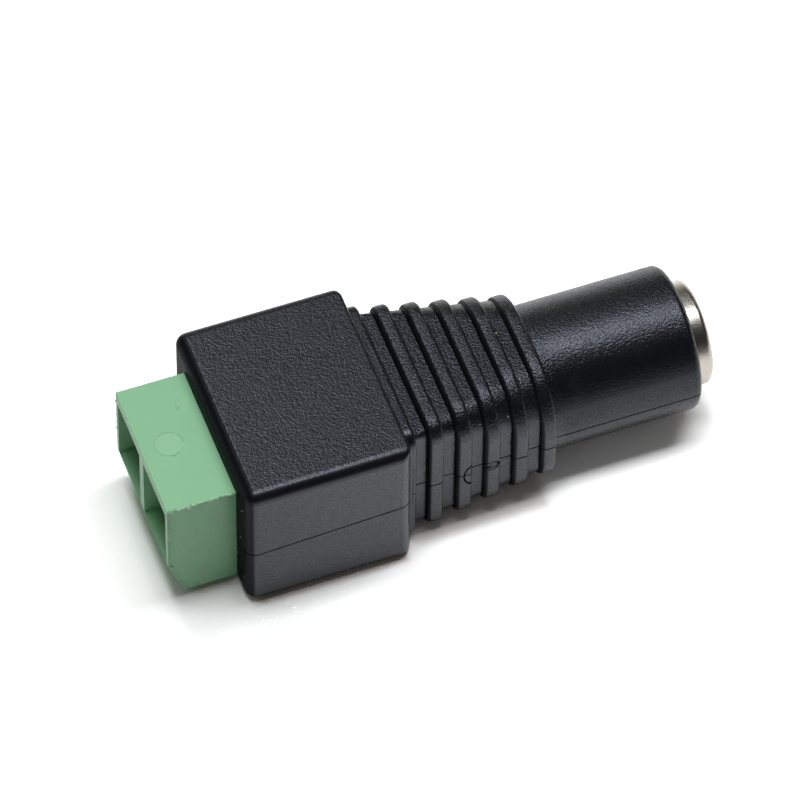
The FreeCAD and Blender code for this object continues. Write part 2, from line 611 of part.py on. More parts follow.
def make_insulator():
    """The cup behind the sleeve: a thick base for the pin, a seat for the sleeve, room for fingers."""
    body = new_body("jack_insulator")
    outline = new_sketch(body, "CupOutline", "XZ_Plane", "0", "AxisHeight")
    add_outline(outline, [
        ("CupBack", "PinTailRadius"),
        ("CupInside - CupBase / 2", "PinTailRadius"),
        ("CupInside - CupBase / 2", "PinRadius"),
        ("CupInside", "PinRadius"),
        ("CupInside", "SleeveRadius + CupRelief"),
        ("CupFront - CupSeat", "SleeveRadius + CupRelief"),
        ("CupFront - CupSeat", "SleeveRadius"),
        ("CupFront", "SleeveRadius"),
        ("CupFront", "CupRadius"),
        ("CupBack", "CupRadius"),
    ])
    turn(body, "Cup", outline)
    slot_outline = new_sketch(body, "SpurSlotOutline", "YZ_Plane", "CupBack")
    add_rectangle(slot_outline, "-SpurSide - SpurThick", "-SpurSide", "BarTop - SpurHeight", "BarTop")
    pocket(body, "SpurSlot", slot_outline, "CupBase")
    return body


def make_pin():
    """The centre pin: tip, collar on the cup's base, tail through the lug and riveted end."""
    body = new_body("centre_pin")
    outline = new_sketch(body, "PinOutline", "XZ_Plane", "0", "AxisHeight")
    add_outline(outline, [
        ("LugBack - RivetThick", "0"),
        ("PinFront", "0"),
        ("PinFront", "PinRadius - PinTip"),
        ("PinFront - PinTip", "PinRadius"),
        ("CupInside + PinCollarThick", "PinRadius"),
        ("CupInside + PinCollarThick", "PinCollarRadius"),
        ("CupInside", "PinCollarRadius"),
        ("CupInside", "PinRadius"),
        ("CupInside - CupBase / 2", "PinRadius"),
        ("CupInside - CupBase / 2", "PinTailRadius"),
        ("LugBack", "PinTailRadius"),
        ("LugBack", "RivetRadius"),
        ("LugBack - RivetThick", "RivetRadius"),
    ])
    turn(body, "Pin", outline)
    return body


def make_lug():
    """The solder lug: a disc under the rivet, an arm to one side and a tail bent backwards."""
    body = new_body("pin_lug")
    disc_outline = new_sketch(body, "DiscOutline", "YZ_Plane", "LugBack")
    add_circle(disc_outline, "0", "AxisHeight", "LugRadius")
    pad(body, "Disc", disc_outline, "LugThick")
    arm_outline = new_sketch(body, "ArmOutline", "YZ_Plane", "LugBack")
    add_rectangle(arm_outline, "0", "PoleSide + LugWidth / 2", "BarTop - LugWidth", "BarTop")
    pad(body, "Arm", arm_outline, "LugThick")
    tail_outline = new_sketch(body, "LugTailOutline", "XY_Plane", "BarTop - LugThick")
    add_rectangle(tail_outline, "SpurEnd", "LugBack", "PoleSide - LugWidth / 2", "PoleSide + LugWidth / 2")
    pad(body, "LugTail", tail_outline, "LugThick")
    hole_outline = new_sketch(body, "LugHoleOutline", "YZ_Plane", "LugBack")
    add_circle(hole_outline, "0", "AxisHeight", "PinTailRadius")
    pocket(body, "LugHole", hole_outline, "LugThick")
    groove_outline = new_sketch(body, "LugGrooveOutline", "YZ_Plane", "SpurEnd")
    add_circle(groove_outline, "PoleSide", "WireHeight", "WireRadius")
    pocket(body, "LugGroove", groove_outline, "WireEnd - SpurEnd")
    return body


def make_link(side, sign):
    """A bare wire and its insulation, straight from a bar's tail to the socket."""
    pole = f"{sign} * PoleSide"
    wire = new_body(f"link_wire_{side}")
    wire_outline = new_sketch(wire, f"WireOutline_{side}", "YZ_Plane", "WireStart")
    add_circle(wire_outline, pole, "WireHeight", "WireRadius")
    pad(wire, f"Wire_{side}", wire_outline, "WireEnd - WireStart")
    jacket = new_body(f"link_jacket_{side}")
    jacket_outline = new_sketch(jacket, f"JacketOutline_{side}", "YZ_Plane", "TailEnd + JacketGap")
    add_circle(jacket_outline, pole, "WireHeight", "JacketRadius")
    add_circle(jacket_outline, pole, "WireHeight", "WireRadius")
    pad(jacket, f"Jacket_{side}", jacket_outline, "SpurEnd - TailEnd - 2 * JacketGap")
    return wire, jacket


def make_solder(name, sign, start, end, tools):
    """A roll of solder round a wire, less the wire and the tail that it joins."""
    blank = new_body(f"{name}_blank")
    outline = new_sketch(blank, f"{name}_outline", "YZ_Plane", start)
    add_circle(outline, f"{sign} * PoleSide", "WireHeight", "SolderRadius")
    pad(blank, f"{name}_roll", outline, f"{end} - ({start})")
    return cut_away(name, blank, tools)


def cut_away(name, blank, tools):
    """A new piece: the blank less its neighbours, so that they meet face to face."""
    joined = doc.addObject("Part::MultiFuse", f"{name}_neighbours")
    joined.Shapes = tools
    piece = doc.addObject("Part::Cut", name)
    piece.Label = name
    piece.Base = blank
    piece.Tool = joined
    return piece


def make_inner_mould(tools):
    """The first shot of plastic round the soldered joints, square behind the block, then round."""
    blank = new_body("inner_mould_blank")
    core_outline = new_sketch(blank, "CoreOutline", "YZ_Plane", "BlockDepth", "AxisHeight")
    add_rectangle(core_outline, "-CoreHalf", "CoreHalf", "-CoreRise", "CoreRise")
    pad(blank, "Core", core_outline, "CoreLength")
    stem_outline = new_sketch(blank, "StemOutline", "YZ_Plane", "CoreEnd", "AxisHeight")
    add_circle(stem_outline, "0", "0", "CupRadius")
    pad(blank, "Stem", stem_outline, "CupBack - CoreEnd")
    return cut_away("inner_mould", blank, tools)


def check_and_write(pieces):
    """Stop if anything failed, then write one STEP file for each piece."""
    doc.recompute()
    for thing in doc.Objects:
        failed = [word for word in thing.State if word in ("Invalid", "Error")]
        if failed:
            raise RuntimeError(f"{thing.Name} is {failed}")
    os.makedirs(OUT, exist_ok=True)
    for piece in pieces:
        shape = piece.Shape
        if shape.isNull() or not shape.isValid():
            raise RuntimeError(f"{piece.Label} has no valid shape")
        print(piece.Label, len(shape.Solids), round(shape.Volume, 3), "mm3")
        shape.exportStep(os.path.join(OUT, piece.Label + ".step"))


fill_sheet()
shell = make_shell()
block = make_block()
sleeve = make_sleeve()
insulator = make_insulator()
pin = make_pin()
lug = make_lug()
pieces = [shell, block, sleeve, insulator, pin, lug]
sealed = [pin, lug, sleeve]
for side, sign in (("left", 1), ("right", -1)):
    bar = make_bar(side, sign)
    wire, jacket = make_link(side, sign)
    far_tail = lug if sign > 0 else sleeve
    far_name = "solder_pin" if sign > 0 else "solder_sleeve"
    near_solder = make_solder(f"solder_bar_{side}", sign, "WireStart - SolderOver",
                              "TailEnd + SolderOver", [bar, wire])
    far_solder = make_solder(far_name, sign, "SpurEnd - SolderOver", "WireEnd + SolderOver",
                             [far_tail, wire])
    pieces += [make_cage(side, sign), make_screw(side, sign), bar, wire, jacket, near_solder, far_solder]
    sealed += [bar, wire, jacket, near_solder, far_solder]
pieces.append(make_inner_mould(sealed))
check_and_write(pieces)
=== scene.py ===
"""Looks of an inline power adapter: a green two-pole screw terminal in a ribbed black moulding
with a bright coaxial socket at its other end. Its pieces are given in millimetres, with X from the
front of the green block to the mouth of the socket and Z up from the table."""

import math

import bpy
from mathutils import Matrix, Vector


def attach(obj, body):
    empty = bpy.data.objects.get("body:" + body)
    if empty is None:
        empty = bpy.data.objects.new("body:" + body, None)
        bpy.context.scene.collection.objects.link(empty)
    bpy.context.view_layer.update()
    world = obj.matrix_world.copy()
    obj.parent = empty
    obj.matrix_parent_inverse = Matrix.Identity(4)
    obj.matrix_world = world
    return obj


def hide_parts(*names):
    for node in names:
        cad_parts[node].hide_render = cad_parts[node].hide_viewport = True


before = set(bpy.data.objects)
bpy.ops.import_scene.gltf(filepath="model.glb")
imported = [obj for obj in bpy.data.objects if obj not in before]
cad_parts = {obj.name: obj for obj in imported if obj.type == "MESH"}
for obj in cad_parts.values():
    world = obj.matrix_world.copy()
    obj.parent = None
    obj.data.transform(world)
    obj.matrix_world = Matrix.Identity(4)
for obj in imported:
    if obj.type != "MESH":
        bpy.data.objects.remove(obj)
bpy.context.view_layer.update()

MM = 0.001
TOTAL_LENGTH = 38.0
AXIS_HEIGHT = 5.2
CLOSE = 0.002

SIDES = (("left", 1), ("right", -1))


# Places and selections.

def spot(x, y, z):
    """A place on the adapter, from millimetres to metres."""
    return Vector((x - TOTAL_LENGTH / 2, y, z)) * MM


def back_to_mm(place):
    return Vector((place.x / MM + TOTAL_LENGTH / 2, place.y / MM, place.z / MM))


def near(first, second, close=CLOSE):
    return abs(first - second) < close


def only(piece):
    """Leave object mode with this piece alone selected and active."""
    if bpy.context.object and bpy.context.object.mode != "OBJECT":
        bpy.ops.object.mode_set(mode="OBJECT")
    bpy.ops.object.select_all(action="DESELECT")
    piece.select_set(True)
    bpy.context.view_layer.objects.active = piece


def edit_all(piece):
    only(piece)
    bpy.ops.object.mode_set(mode="EDIT")
    bpy.ops.mesh.select_mode(type="VERT")
    bpy.ops.mesh.select_all(action="SELECT")


def edit_where(piece, kind, test):
    """Edit mode with the vertices, edges or faces selected that pass a test on their corners in mm."""
    edit_all(piece)
    bpy.ops.mesh.select_mode(type=kind)
    bpy.ops.mesh.select_all(action="DESELECT")
    bpy.ops.object.mode_set(mode="OBJECT")
    mesh = piece.data
    corners = [back_to_mm(vertex.co) for vertex in mesh.vertices]
    if kind == "VERT":
        for vertex in mesh.vertices:
            vertex.select = test([corners[vertex.index]])
    else:
        for part in mesh.edges if kind == "EDGE" else mesh.polygons:
            part.select = test([corners[number] for number in part.vertices])
    bpy.ops.object.mode_set(mode="EDIT")


def done(piece):
    bpy.ops.object.mode_set(mode="OBJECT")
    return piece


def along_x(corners):
    return near(corners[0].y, corners[1].y) and near(corners[0].z, corners[1].z)


def across_x(corners):
    return near(corners[0].x, corners[1].x)


def settle(piece, name):
    """Put the place of a new primitive into its mesh, and name it."""
    only(piece)
    bpy.ops.object.transform_apply(location=True, rotation=True, scale=True)
    piece.name = name
    piece.data.name = name
    return piece


# Solids to start from, and what is done to them.

def block_between(name, low, high):
    bpy.ops.object.select_all(action="DESELECT")
    middle = (spot(*low) + spot(*high)) / 2
    bpy.ops.mesh.primitive_cube_add(size=1, location=middle, scale=spot(*high) - spot(*low))
    return settle(bpy.context.object, name)


def rod_between(name, radius, low, high, sides=96, axis="X"):
    """A cylinder along X, or along Z, from one middle to the other."""
    bpy.ops.object.select_all(action="DESELECT")
    start, end = spot(*low), spot(*high)
    turn = (0, math.radians(90), 0) if axis == "X" else (0, 0, 0)
    bpy.ops.mesh.primitive_cylinder_add(vertices=sides, radius=radius * MM, depth=(end - start).length,
                                        location=(start + end) / 2, rotation=turn)
    return settle(bpy.context.object, name)


def join(piece, others):
    only(piece)
    for other in others:
        other.select_set(True)
    bpy.ops.object.join()
    return piece


def bevel(piece, test, width, rounds):
    """Round the edges that pass a test."""
    edit_where(piece, "EDGE", test)
    bpy.ops.mesh.bevel(offset=width * MM, offset_type="OFFSET", segments=rounds, profile=0.5,
                       affect="EDGES", clamp_overlap=True)
    return done(piece)


def boolean(piece, tool, operation):
    """Join a tool to a piece or cut it away, and delete the tool."""
    only(piece)
    joint = piece.modifiers.new("Joint", "BOOLEAN")
    joint.object = tool
    joint.operation = operation
    joint.solver = "EXACT"
    bpy.ops.object.modifier_apply(modifier=joint.name)
    bpy.data.objects.remove(tool)
    return piece


def cut(piece, tool):
    return boolean(piece, tool, "DIFFERENCE")


def unite(piece, tool):
    return boolean(piece, tool, "UNION")


def weld(piece):
    """Merge what lies in one place and turn every face outwards."""
    edit_all(piece)
    bpy.ops.mesh.remove_doubles(threshold=CLOSE * MM)
    bpy.ops.mesh.normals_make_consistent(inside=False)
    return done(piece)


def smooth(piece, angle=35):
    """Smooth shading over roundings, with flat faces kept flat."""
    only(piece)
    bpy.ops.object.shade_smooth_by_angle(angle=math.radians(angle))
    weights = piece.modifiers.new("Flat faces", "WEIGHTED_NORMAL")
    weights.keep_sharp = True
    bpy.ops.object.modifier_apply(modifier=weights.name)
    return piece


def turned(name, outline, steps=96, closed=True):
    """A turned piece: an outline of (x, radius) drawn corner by corner and spun about the socket's axis."""
    bpy.ops.object.select_all(action="DESELECT")
    places = [spot(x, 0, AXIS_HEIGHT + radius) for x, radius in outline]
    bpy.ops.mesh.primitive_plane_add(size=MM, location=places[0])
    piece = settle(bpy.context.object, name)
    edit_all(piece)
    bpy.ops.mesh.merge(type="CENTER")
    for before, after in zip(places, places[1:]):
        bpy.ops.mesh.extrude_region_move(TRANSFORM_OT_translate={"value": after - before})
    if closed:
        bpy.ops.mesh.extrude_region_move(TRANSFORM_OT_translate={"value": places[0] - places[-1]})
    bpy.ops.mesh.select_all(action="SELECT")
    bpy.ops.mesh.spin(steps=steps, angle=math.tau, center=spot(0, 0, AXIS_HEIGHT), axis=(1, 0, 0))
    done(piece)
    return weld(piece)


# Shader maths.

class Tone:
    """A number that varies over a surface. Sums of tones add their own Math nodes."""

    def __init__(self, finish, socket):
        self.finish = finish
        self.socket = socket

    def _maths(self, operation, first, second=0.0):
        node = self.finish.add("ShaderNodeMath", {"operation": operation}, {0: first, 1: second})
        return Tone(self.finish, node.outputs[0])

    def __add__(self, other):
        return self._maths("ADD", self, other)

    def __radd__(self, other):
        return self._maths("ADD", other, self)

    def __sub__(self, other):
        return self._maths("SUBTRACT", self, other)

    def __rsub__(self, other):
        return self._maths("SUBTRACT", other, self)

    def __mul__(self, other):
        return self._maths("MULTIPLY", self, other)

    def __rmul__(self, other):
        return self._maths("MULTIPLY", other, self)

    def __truediv__(self, other):
        return self._maths("DIVIDE", self, other)

    def power(self, exponent):
        return self._maths("POWER", self, exponent)

    def highest(self, other):
        return self._maths("MAXIMUM", self, other)

    def size(self):
        return self._maths("ABSOLUTE", self)

    def rising(self, low, high):
        """Nothing under low, all over high, and a soft step between them."""
        node = self.finish.add("ShaderNodeMapRange", {"interpolation_type": "SMOOTHSTEP", "clamp": True},
                               {"Value": self, "From Min": low, "From Max": high,
                                "To Min": 0.0, "To Max": 1.0})
        return Tone(self.finish, node.outputs[0])

    def falling(self, low, high):
        return 1 - self.rising(low, high)


class Finish:
    """One material and its nodes."""

    def __init__(self, name):
        self.material = bpy.data.materials.new(name)
        self.material.use_nodes = True
        self.tree = self.material.node_tree
        self.shader = self.tree.nodes["Principled BSDF"]
        coordinates = self.add("ShaderNodeTexCoord", {}, {})
        self.place = coordinates.outputs["Object"]
        self.facing = coordinates.outputs["Normal"]

    def add(self, kind, settings, sockets):
        """A node of a kind, with its settings made first and then its sockets filled or linked."""
        node = self.tree.nodes.new(kind)
        for setting, value in settings.items():
            if setting == "stops":
                self._stops(node, value)
            else:
                setattr(node, setting, value)
        for name, value in sockets.items():
            self.feed(node, name, value)
        return node

    @staticmethod
    def _stops(node, stops):
        ramp = node.color_ramp
        while len(ramp.elements) < len(stops):
            ramp.elements.new(0.5)
        for element, (position, colour) in zip(ramp.elements, stops):
            element.position = position
            element.color = (*colour, 1.0)

    def feed(self, node, name, value):
        socket = node.inputs[name]
        if isinstance(value, Tone):
            self.tree.links.new(value.socket, socket)
        elif isinstance(value, bpy.types.NodeSocket):
            self.tree.links.new(value, socket)
        elif isinstance(value, (tuple, list)) and socket.type == "RGBA":
            socket.default_value = (*value, 1.0)
        else:
            socket.default_value = value

    def axes(self, vector):
        """The three parts of a vector, in metres or as a direction."""
        node = self.add("ShaderNodeSeparateXYZ", {}, {0: vector})
        return [Tone(self, node.outputs[number]) for number in range(3)]

    def stretched(self, scale=(1.0, 1.0, 1.0), shift=(0.0, 0.0, 0.0)):
        node = self.add("ShaderNodeMapping", {}, {"Vector": self.place, "Scale": scale, "Location": shift})
        return node.outputs[0]

    def noise(self, grain, detail=3.0, roughness=0.55, stretch=(1.0, 1.0, 1.0), shift=(0.0, 0.0, 0.0),
              distortion=0.0):
        """Soft noise whose patches are about a grain of millimetres across."""
        where = self.stretched(stretch, shift=shift)
        sockets = {"Vector": where, "Scale": 1 / (grain * MM), "Detail": detail, "Roughness": roughness,
                   "Distortion": distortion}
        node = self.add("ShaderNodeTexNoise", {}, sockets)
        return Tone(self, node.outputs["Fac"])

    def cells(self, grain):
        """How far off the middle of the nearest cell is, in cells of about a grain of millimetres."""
        sockets = {"Vector": self.stretched(), "Scale": 1 / (grain * MM), "Randomness": 1.0}
        node = self.add("ShaderNodeTexVoronoi", {"feature": "F1"}, sockets)
        return Tone(self, node.outputs["Distance"])

    def blend(self, factor, first, second):
        """From one colour to another."""
        node = self.add("ShaderNodeMix", {"data_type": "RGBA"}, {0: factor, 6: first, 7: second})
        return node.outputs[2]

    def ramp(self, factor, stops):
        node = self.add("ShaderNodeValToRGB", {"stops": stops}, {"Fac": factor})
        return node.outputs["Color"]

    def relief(self, height, depth):
        """A bump of a depth in millimetres."""
        node = self.add("ShaderNodeBump", {}, {"Height": height, "Distance": depth * MM, "Strength": 1.0})
        return node.outputs["Normal"]

    def show(self, outlet):
        """Send a shader to the material's output."""
        self.tree.links.new(outlet, self.tree.nodes["Material Output"].inputs["Surface"])

    def dulled(self, factor, colour):
        """Where the factor is high, a plain matt colour takes the shader's place."""
        plain = self.add("ShaderNodeBsdfDiffuse", {}, {"Color": colour}).outputs[0]
        both = self.add("ShaderNodeMixShader", {}, {0: factor, 1: self.shader.outputs[0], 2: plain})
        self.show(both.outputs[0])

    def finish(self, **sockets):
        """Fill the shader: names are written with underscores for spaces."""
        for name, value in sockets.items():
            self.feed(self.shader, name.replace("_", " "), value)
        return self.material


def dress(piece, material, body, slot, *stands_for):
    """Give a piece its finish and its body, and hide the nodes that it stands for. The slot is not used."""
    piece.data.materials.clear()
    piece.data.materials.append(material)
    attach(piece, body)
    if stands_for:
        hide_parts(*stands_for)
    return piece


# Finishes.

# Where the looks of the box end and those of the nose begin, in metres along X from the adapter's middle.
BOX_FADE = (-0.0030, -0.0024)
NOSE_FADE = (0.0076, 0.0084)


def black_plastic():
    """Soft black plastic with a leathery grain on top, plainer mottled sides and random matt patches. Faces
    turned to the front, the near upper shoulders and the nose's sides get painted shade: a plain dark matt
    colour takes the shader's place there.
    """
    shell = Finish("BlackSoftPlastic")
    ahead, aside, up = shell.axes(shell.facing)
    along = shell.axes(shell.place)[0]
    on_box = along.falling(*BOX_FADE)
    on_nose = along.rising(*NOSE_FADE)
    flat = ahead.size().highest(aside.size()).highest(up.size()).rising(0.96, 0.998)
    upward = up.rising(0.2, 0.7)
    lower = up.falling(-0.5, -0.05)
    leather = shell.noise(0.125, detail=1.0, roughness=0.5, stretch=(0.8, 1.0, 1.0), distortion=0.2)
    fine = shell.noise(0.08, detail=2.0)
    wide = shell.noise(1.6, detail=2.0)
    mottling = shell.noise(0.12, detail=2.0, shift=(0.003, 0.001, 0.002))
    on_ribs = (1 - on_box) * (1 - on_nose)
    grain = leather * (0.7 + 0.3 * upward + 0.45 * on_ribs) * (1 - 0.85 * on_box * (1 - flat))
    normal = shell.relief(grain * up.rising(-0.3, -0.05), 0.032)
    scuffs = shell.noise(2.4, detail=4.0, stretch=(1.0, 0.4, 1.0)).rising(0.62, 0.8)
    tone = shell.blend(wide, (0.0052, 0.0056, 0.0066), (0.0072, 0.0076, 0.0089))
    tone = shell.blend(scuffs * 0.25, tone, (0.04, 0.04, 0.045))
    rough = 0.28 + 0.07 * wide + 0.06 * scuffs
    # Painted shade: faces turned to the front, the near upper shoulders and the nose's sides are drawn dark
    # with the plain matt colour below.
    front = (0 - ahead).rising(0.25, 0.55)
    painted_shoulder_shade = up.rising(0.25, 0.45) * up.falling(0.75, 0.9) * (0 - aside).rising(0.3, 0.5)
    patches = fine.falling(0.42, 0.58) * upward * 0.4 + mottling.falling(0.38, 0.62) * (1 - upward) * 0.25
    matt_patches_and_painted_shade = patches + on_nose * (1 - lower) * (1 - upward) * 0.2
    matt_patches_and_painted_shade = matt_patches_and_painted_shade.highest(front * 0.8).highest(painted_shoulder_shade * 0.45)
    # Random matt patches and the painted shade both take this plain dark matt colour.
    shell.dulled(matt_patches_and_painted_shade, (0.006, 0.0064, 0.0078))
    return shell.finish(Base_Color=tone, Roughness=rough, Normal=normal, IOR=1.58,
                        Specular_Tint=(0.86, 0.89, 1.0))


def green_plastic():
    """Satin green polyamide with flow marks and dark pits on its sides and a paler round ejector mark."""
    housing = Finish("GreenPolyamide")
    up = housing.axes(housing.facing)[2]
    along, across, _ = housing.axes(housing.place)
    wide = housing.noise(2.2, detail=3.0)
    flow = housing.noise(0.5, detail=4.0, stretch=(1.0, 1.0, 0.35))
    fine = housing.noise(0.12, detail=2.0)
    pits = housing.noise(0.28, detail=1.0, shift=(0.004, 0.0, 0.002)).rising(0.765, 0.80)
    side = up.size().falling(0.3, 0.7)
    from_mark = along - (MARK_X - TOTAL_LENGTH / 2) * MM
    from_mark = (from_mark * from_mark + across * across).power(0.5) / MM
    mark = from_mark.falling(MARK_RADIUS - 0.04, MARK_RADIUS) * (1 - side)
    tone = housing.blend(wide, (0.222, 0.500, 0.256), (0.256, 0.545, 0.290))
    tone = housing.blend(mark * 0.5, tone, (0.29, 0.57, 0.33))
    tone = housing.blend(flow.rising(0.48, 0.62) * side * 0.5, tone, (0.27, 0.44, 0.30))
    tone = housing.blend(pits * side * 0.7, tone, (0.05, 0.09, 0.05))
    normal = housing.relief(fine * 0.5 + wide + flow * side * 1.5, 0.02)
    rough = 0.36 + 0.12 * fine
    return housing.finish(Base_Color=tone, Roughness=rough, Normal=normal, IOR=1.52)


def pale_flash():
    """The same polyamide where it is thin and torn: paler and duller."""
    burrs = Finish("PaleFlash")
    cloud = burrs.noise(0.25, detail=3.0)
    tone = burrs.blend(cloud.rising(0.45, 0.7), (0.24, 0.48, 0.27), (0.52, 0.66, 0.50))
    normal = burrs.relief(burrs.noise(0.06, detail=2.0), 0.01)
    return burrs.finish(Base_Color=tone, Roughness=0.45 + 0.15 * cloud, Normal=normal, IOR=1.52)


def nickel():
    """Satin nickel plate with turning marks and fine specks."""
    plate = Finish("SatinNickel")
    marks = plate.noise(0.05, detail=3.0, stretch=(1.0, 0.08, 0.08))
    specks = plate.noise(0.09, detail=2.0)
    cloud = plate.noise(0.8, detail=3.0)
    tone = plate.blend(cloud, (0.395, 0.365, 0.322), (0.51, 0.475, 0.425))
    normal = plate.relief(marks * 0.4 + specks, 0.012)
    rough = 0.20 + 0.10 * cloud + 0.08 * specks
    return plate.finish(Base_Color=tone, Roughness=rough, Metallic=1.0, Normal=normal)


def zinc():
    """Zinc-plated steel, slightly cloudy."""
    plate = Finish("ZincPlate")
    cloud = plate.noise(0.6, detail=4.0)
    fine = plate.noise(0.06, detail=2.0)
    tone = plate.ramp(cloud, [(0.25, (0.50, 0.52, 0.54)), (0.75, (0.66, 0.68, 0.70))])
    normal = plate.relief(fine, 0.006)
    return plate.finish(Base_Color=tone, Roughness=0.28 + 0.2 * cloud, Metallic=1.0, Normal=normal)


def tin():
    """Satin tin plate over brass."""
    plate = Finish("SatinTin")
    cloud = plate.noise(0.9, detail=4.0)
    fine = plate.noise(0.05, detail=2.0, stretch=(0.3, 1.0, 1.0))
    tone = plate.ramp(cloud, [(0.25, (0.58, 0.56, 0.52)), (0.75, (0.72, 0.71, 0.68))])
    normal = plate.relief(fine, 0.004)
    return plate.finish(Base_Color=tone, Roughness=0.34 + 0.15 * cloud, Metallic=1.0, Normal=normal)


def moulded(name, dark, light, rough):
    """Plain moulded plastic or insulation between two close tones."""
    plastic = Finish(name)
    cloud = plastic.noise(1.2, detail=3.0)
    fine = plastic.noise(0.1, detail=2.0)
    tone = plastic.blend(cloud, dark, light)
    normal = plastic.relief(fine, 0.008)
    return plastic.finish(Base_Color=tone, Roughness=rough + 0.12 * cloud, Normal=normal)


def copper():
    """Bare stranded copper, drawn along X."""
    wire = Finish("BareCopper")
    strands = wire.noise(0.12, detail=2.0, stretch=(0.05, 1.0, 1.0))
    cloud = wire.noise(0.7, detail=3.0)
    tone = wire.ramp(cloud, [(0.3, (0.55, 0.25, 0.14)), (0.7, (0.72, 0.38, 0.24))])
    normal = wire.relief(strands, 0.02)
    return wire.finish(Base_Color=tone, Roughness=0.3 + 0.15 * cloud, Metallic=1.0, Normal=normal)


def solder():
    """Tin solder with the soft ripples of a hand-made joint."""
    joint = Finish("TinSolder")
    ripples = joint.noise(0.5, detail=1.0)
    cloud = joint.noise(0.25, detail=3.0)
    tone = joint.ramp(cloud, [(0.3, (0.52, 0.52, 0.53)), (0.7, (0.68, 0.68, 0.69))])
    normal = joint.relief(ripples, 0.05)
    return joint.finish(Base_Color=tone, Roughness=0.22 + 0.2 * cloud, Metallic=1.0, Normal=normal)


# The black moulding.

BLOCK_SHOW = 4.63
BOX_END = 15.85
BOX_HALF = 7.15
BOX_TOP = 11.3
BOX_ROUND = 0.8
REAR_SHARE = 0.31
COLLAR_END = 16.55
RIB_LOW = 0.2
RIB_STARTS = [17.38 + 1.96 * number for number in range(5)]
RIB_WIDTH = 1.12
RIB_FRONT = 0.42
RIB_BACK = 0.25
NECK_LOW = 0.63
NECK_START = 16.4
NECK_END = 25.78

# Half width, top over the axis, upper corners and lower corners.
COLLAR = (5.95, 5.7, 1.1, 1.1)
FIRST_RIB = (5.72, 5.53, 1.4, 1.2)
LAST_RIB = (5.53, 5.07, 4.2, 3.3)
FIRST_NECK = (5.29, 5.10, 0.3, 0.5)
LAST_NECK = (5.10, 4.64, 3.4, 2.5)

NOSE_RADIUS = 4.85
NOSE_START = RIB_STARTS[-1] + 0.3
NOSE_END = 36.7
NOSE_ROUND = 0.5
FLANGE_X = 32.1
SLEEVE_RADIUS = 3.5
CUP_RADIUS = 4.1
SOCKET_ROOM = (14.0, 39.0)
CORE_ROOM = ((7.5, -4.4, 1.6), (14.1, 4.4, 8.8))
SEAM_HALF = 0.055
SEAM_DEPTH = 0.08

# Start and end of each length of the seam, and its height at both.
SEAMS = [(BLOCK_SHOW, BOX_END, 5.18, 5.76), (BOX_END, NOSE_END, 5.02, 5.02)]

# Place, width, height and tilt of each ring left by a gate or an ejector.
SCARS = [(20.52, -5.66, 4.9, 1.3, 1.9, 0), (19.25, -5.74, 4.9, 0.5, 0.95, 0),
         (21.8, -5.58, 5.15, 1.0, 0.78, -14), (21.88, -5.56, 5.16, 0.7, 0.3, -20)]
SCAR_WIRE = 0.06
SCAR_REACH = 3.3


def rib_section(number):
    """A rib's section, on the way from the first one's to the last one's."""
    share = number / (len(RIB_STARTS) - 1)
    return [first + (last - first) * share for first, last in zip(FIRST_RIB, LAST_RIB)]


def rounded_bar(name, start, end, section, rounds=16):
    """A bar along X with rounded upper and lower corners and softly rounded rims."""
    half, top, corner, foot = section
    high = AXIS_HEIGHT + top
    bar = block_between(name, (start, -half, RIB_LOW), (end, half, high))
    bevel(bar, lambda corners: along_x(corners) and near(corners[0].z, high), corner, rounds)
    bevel(bar, lambda corners: along_x(corners) and near(corners[0].z, RIB_LOW), foot, rounds)
    bevel(bar, lambda corners: across_x(corners) and near(corners[0].x, start), RIB_FRONT, 6)
    return bevel(bar, lambda corners: across_x(corners) and near(corners[0].x, end), RIB_BACK, 4)


def neck_loop(name, x, section):
    """One end of the tapered neck under the ribs: a rectangle whose corners are rounded."""
    half, top, corner, foot = section
    high = AXIS_HEIGHT + top
    bpy.ops.object.select_all(action="DESELECT")
    bpy.ops.mesh.primitive_plane_add(size=MM, location=spot(x, 0, (NECK_LOW + high) / 2),
                                     rotation=(0, math.radians(90), 0))
    bpy.context.object.scale = (high - NECK_LOW, 2 * half, 1)
    loop = settle(bpy.context.object, name)
    for height, size in ((high, corner), (NECK_LOW, foot)):
        edit_where(loop, "VERT", lambda corners: near(corners[0].z, height))
        bpy.ops.mesh.bevel(offset=size * MM, segments=12, profile=0.5, affect="VERTICES")
        done(loop)
    edit_all(loop)
    bpy.ops.mesh.delete(type="ONLY_FACE")
    return done(loop)


def tapered_neck():
    start = neck_loop("Neck", NECK_START, FIRST_NECK)
    end = neck_loop("NeckEnd", NECK_END, LAST_NECK)
    only(start)
    end.select_set(True)
    bpy.ops.object.join()
    edit_all(start)
    bpy.ops.mesh.bridge_edge_loops()
    bpy.ops.mesh.select_all(action="SELECT")
    bpy.ops.mesh.fill_holes(sides=0)
    done(start)
    return weld(start)


def seam_round(piece):
    """The thin line where the two halves of the mould met: it climbs along the box, then runs level."""
    for start, end, first, last in SEAMS:
        foot = Vector((start, 0, first))
        slope = Vector((first - last, 0, end - start)).normalized()

        def in_reach(corners):
            return all(start - CLOSE < corner.x < end + CLOSE for corner in corners)

        for shift in (-SEAM_HALF, 0.0, SEAM_HALF):
            edit_where(piece, "FACE", in_reach)
            bpy.ops.mesh.bisect(plane_co=spot(*foot) + slope * shift * MM, plane_no=slope,
                                threshold=CLOSE * MM)
            done(piece)
        edit_where(piece, "VERT", lambda corners: in_reach(corners) and
                   abs((corners[0] - foot).dot(slope)) < SEAM_HALF / 4)
        bpy.ops.transform.shrink_fatten(value=-SEAM_DEPTH * MM)
        done(piece)
    return piece


